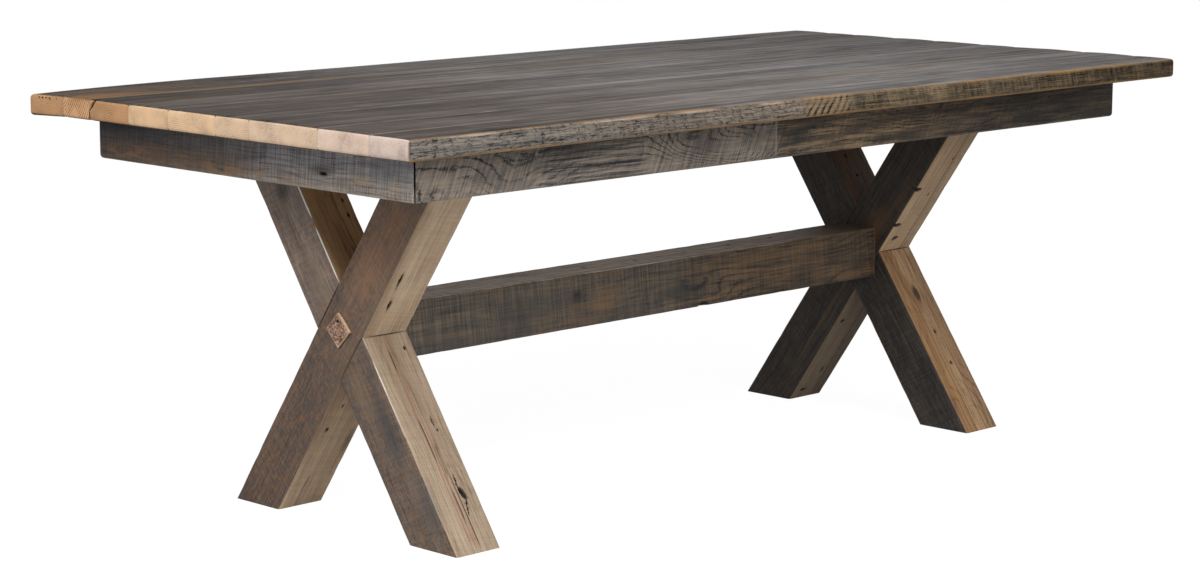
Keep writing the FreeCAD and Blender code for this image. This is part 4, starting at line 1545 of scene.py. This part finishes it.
@dataclass
class StretcherBar:
    """The square bar between the trestles: dark and sawn across, with wild grain to the right, and pale above."""

    node: str = "stretcher"
    dark: Tone = Tone(
        (34, 31, 29), (81, 73, 65), (118, 101, 80), streak=0.2, fibre=0.45, ring=0.12, blotch=0.45, saw=0.32,
        mottles=each(Mottle, ((58, 57, 56), 0.5, 0.48, 0.64), ((108, 84, 58), 0.4, 0.52, 0.68, (6.0, 20.0))))
    wild: Tone = Tone(
        (26, 24, 22), (76, 66, 56), (116, 95, 70), streak=0.6, fibre=0.75, ring=0.36, blotch=0.6, saw=0.27,
        mottles=(Mottle((44, 42, 40), 0.55, 0.52, 0.66, (5.0, 24.0)),))
    above: Tone = Tone((88, 81, 75), (176, 165, 158), (210, 198, 188), streak=0.6, fibre=1.1, ring=0.1, saw=0.3)

    def bed(self) -> Bed:
        """Work out the bar's bed between its shoulders, without the tenons.

        Returns:
            The bed.
        """
        whole = Bed.of_node(self.node)
        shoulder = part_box("right_leg_near_top")[0].x
        return Bed(whole.middle, Vector((shoulder, whole.half.y, whole.half.z)))

    def wood(self) -> Wood:
        """Choose the bar's finish, with its knots, a row of holes above and a chip in its lower arris.

        Returns:
            The finish.
        """
        knots = each(
            Knot, ((-0.22, -0.05, 0.013), (0.1, 0.06, 0.05), 6.0), ((0.1, -0.05, -0.03), (0.16, 0.06, 0.05), 2.0),
            ((0.45, -0.05, 0.02), (0.3, 0.06, 0.05), 1.5))
        patches = each(
            Patch,
            ((-0.225, -0.05, 0.012), (0.02, 0.03, 0.02), (30, 29, 29), 0.85),
            ((-0.15, -0.05, 0.0), (0.06, 0.03, 0.04), (112, 88, 62), 0.5),
            ((0.07, -0.05, -0.015), (0.08, 0.03, 0.03), (42, 41, 40), 0.7),
            ((0.35, -0.05, 0.03), (0.25, 0.03, 0.02), (104, 82, 56), 0.4))
        holes = ((-0.294, -0.003), (-0.154, 0.002), (-0.018, -0.006), (0.124, -0.005), (0.262, 0.0), (0.403, 0.011))
        dents = tuple(Dent(Face.BED_HIGH, place, (0.009, 0.009)) for place in holes)
        dents += each(Dent, (Face.BED_LOW, (0.133, -0.052), (0.03, 0.018), 0.006, 0.0, (1.2, 0.3)),
                      (Face.SIDE_LOW, (0.133, -0.052), (0.026, 0.014), 0.005, 0.0, (1.2, 0.3)))
        # The near side darkens a little towards the right; the top darkens sharply near the right trestle, a painted
        # shadow of its legs.
        shifts = each(
            Shift,
            (0, ((0.0, (242, 244, 246)), (0.55, (244, 242, 240)), (0.72, (222, 214, 206)), (1.0, (206, 196, 186))),
             Face.SIDE_LOW),
            (0, ((0.0, (255, 253, 251)), (0.5, (250, 247, 244)), (0.78, (214, 206, 200)), (0.9, (150, 140, 130)),
                 (1.0, (120, 108, 98))), Face.BED_HIGH))
        grain = Grain(pith=(0.12, -0.14), spacing=0.0085, waver=0.03, along=2.6, line=0.4, ragged=0.5,
                      saw_pitch=0.0042, knots=knots)
        return Wood("stretcher_wood", self.dark, ((Face.BED_HIGH, self.above),),
                    spans=(Span(0.06, 0.9, self.wild, 0.06, Face.SIDE_LOW),), grain=grain, shifts=shifts,
                    patches=patches, dents=dents, seed=61, arris=(122, 102, 82), arris_strength=0.45,
                    arris_break=0.008)

    def build(self) -> None:
        """Build the bar."""
        Board("stretcher_bar", self.node, "trestle_timber", self.bed(), self.wood(), cell=(0.008, 0.007)).build()


@dataclass
class HiddenParts:
    """The cross members, corner blocks and steel that stay as they were made and take a finish."""

    steel_words: tuple[str, ...] = ("bolt", "nut", "screws")
    wood_words: tuple[str, ...] = ("cleat", "batten", "block")
    planed: Tone = Tone((128, 98, 66), (172, 138, 98), (202, 170, 128), fibre=0.5, ring=0.4, blotch=0.4)
    first_seed: int = 80

    def build(self) -> None:
        """Give every kept piece its finish."""
        steel = Steel().material()
        for count, (name, piece) in enumerate(sorted(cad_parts.items())):
            if any(word in name for word in self.wood_words):
                bed = Bed.of_node(name) if "block" in name else Bed.of_cross_node(name)
                finish = Wood(f"{name}_wood", self.planed, seed=self.first_seed + count).material(bed)
            elif any(word in name for word in self.steel_words):
                finish = steel
            else:
                continue
            piece.data.materials.clear()
            piece.data.materials.append(finish)
            log.info("%s: finished as it is", name)


@dataclass
class Studio:
    """A white floor, a white surround, soft lamps and the camera."""

    camera_place: Triple = (-4.057716, -3.933337, 1.298832)
    heading: float = math.radians(45.102)
    dip: float = math.radians(9.645)
    roll: float = math.radians(0.138)
    focal_pixels: float = 2878.332
    image_width: float = 1200.0
    sensor: float = 36.0
    far: float = 200.0
    sky: float = 0.5
    floor_size: float = 40.0
    floor_grey: float = 0.62
    floor_glow: float = 1.12
    glow_share: float = 0.85
    lamp_size: float = 2.4

    def build(self) -> None:
        """Set the stage."""
        self.camera()
        self.surround()
        self.floor()
        self.lamp("key", (-3.4, -2.2, 3.4), (-0.2, -0.1, 0.4), 190.0)
        self.lamp("front", (-0.6, -4.4, 2.8), (0.0, 0.0, 0.4), 120.0)
        bpy.context.scene.view_settings.view_transform = "Standard"

    def camera(self) -> None:
        """Set the camera where the photograph was taken from."""
        lens = bpy.data.cameras.new("camera")
        lens.sensor_width = self.sensor
        lens.lens = self.sensor * self.focal_pixels / self.image_width
        lens.clip_end = self.far
        body = bpy.data.objects.new("camera", lens)
        ahead = Vector((math.cos(self.dip) * math.sin(self.heading),
                        math.cos(self.dip) * math.cos(self.heading), -math.sin(self.dip)))
        body.rotation_mode = "QUATERNION"
        body.rotation_quaternion = ahead.to_track_quat("-Z", "Y") @ Quaternion((0, 0, 1), self.roll)
        body.location = self.camera_place
        bpy.context.scene.collection.objects.link(body)
        bpy.context.scene.camera = body

    def surround(self) -> None:
        """Fill the surround with plain light, and show it white."""
        sheet = Sheet(bpy.data.worlds.new("surround"))
        rays = ("Is Camera Ray", "Is Glossy Ray", "Is Transmission Ray")
        camera, glossy, through = (sheet.node("ShaderNodeLightPath", {}, {}, ray) for ray in rays)
        level = camera.most(glossy).most(through) * (1.0 - self.sky) + self.sky
        back = sheet.node("ShaderNodeBackground", {}, {"Color": (1.0, 1.0, 1.0, 1.0), "Strength": level})
        sheet.node("ShaderNodeOutputWorld", {}, {"Surface": back})
        bpy.context.scene.world = sheet.owner

    def floor(self) -> None:
        """Lay a pale floor that reads as white and keeps a soft shadow."""
        mesh = bmesh.new()
        bmesh.ops.create_grid(mesh, x_segments=1, y_segments=1, size=self.floor_size)
        ground = finished(mesh, "floor")
        sheet = Sheet.new("pale_floor")
        seen = sheet.node("ShaderNodeLightPath", {}, {}, "Is Camera Ray")
        grey = (self.floor_grey, self.floor_grey, self.floor_grey, 1.0)
        matt = sheet.node("ShaderNodeBsdfDiffuse", {}, {"Color": grey})
        glow = sheet.node("ShaderNodeEmission", {}, {"Color": (1.0, 1.0, 1.0, 1.0), "Strength": self.floor_glow})
        both = sheet.node("ShaderNodeMixShader", {}, {0: seen * self.glow_share, 1: matt, 2: glow})
        ground.data.materials.append(sheet.close(both))

    def lamp(self, name: str, place: Triple, target: Triple, power: float) -> None:
        """Hang one soft square lamp.

        Args:
            name: The lamp's name.
            place: Where it hangs.
            target: What it points at.
            power: Its power in watts.
        """
        light = bpy.data.lights.new(name, "AREA")
        light.shape = "SQUARE"
        light.size = self.lamp_size
        light.energy = power
        lamp = bpy.data.objects.new(name, light)
        lamp.location = place
        lamp.rotation_mode = "QUATERNION"
        lamp.rotation_quaternion = (Vector(target) - Vector(place)).to_track_quat("-Z", "Y")
        bpy.context.scene.collection.objects.link(lamp)


def main() -> None:
    """Build the table from the top down, then the studio."""
    logging.basicConfig(level=logging.INFO, format="%(message)s")
    TableTop().build()
    ApronFrame().build()
    for end in End:
        Trestle(end).build()
    StretcherBar().build()
    HiddenParts().build()
    Studio().build()


if __name__ == "__main__":
    main()
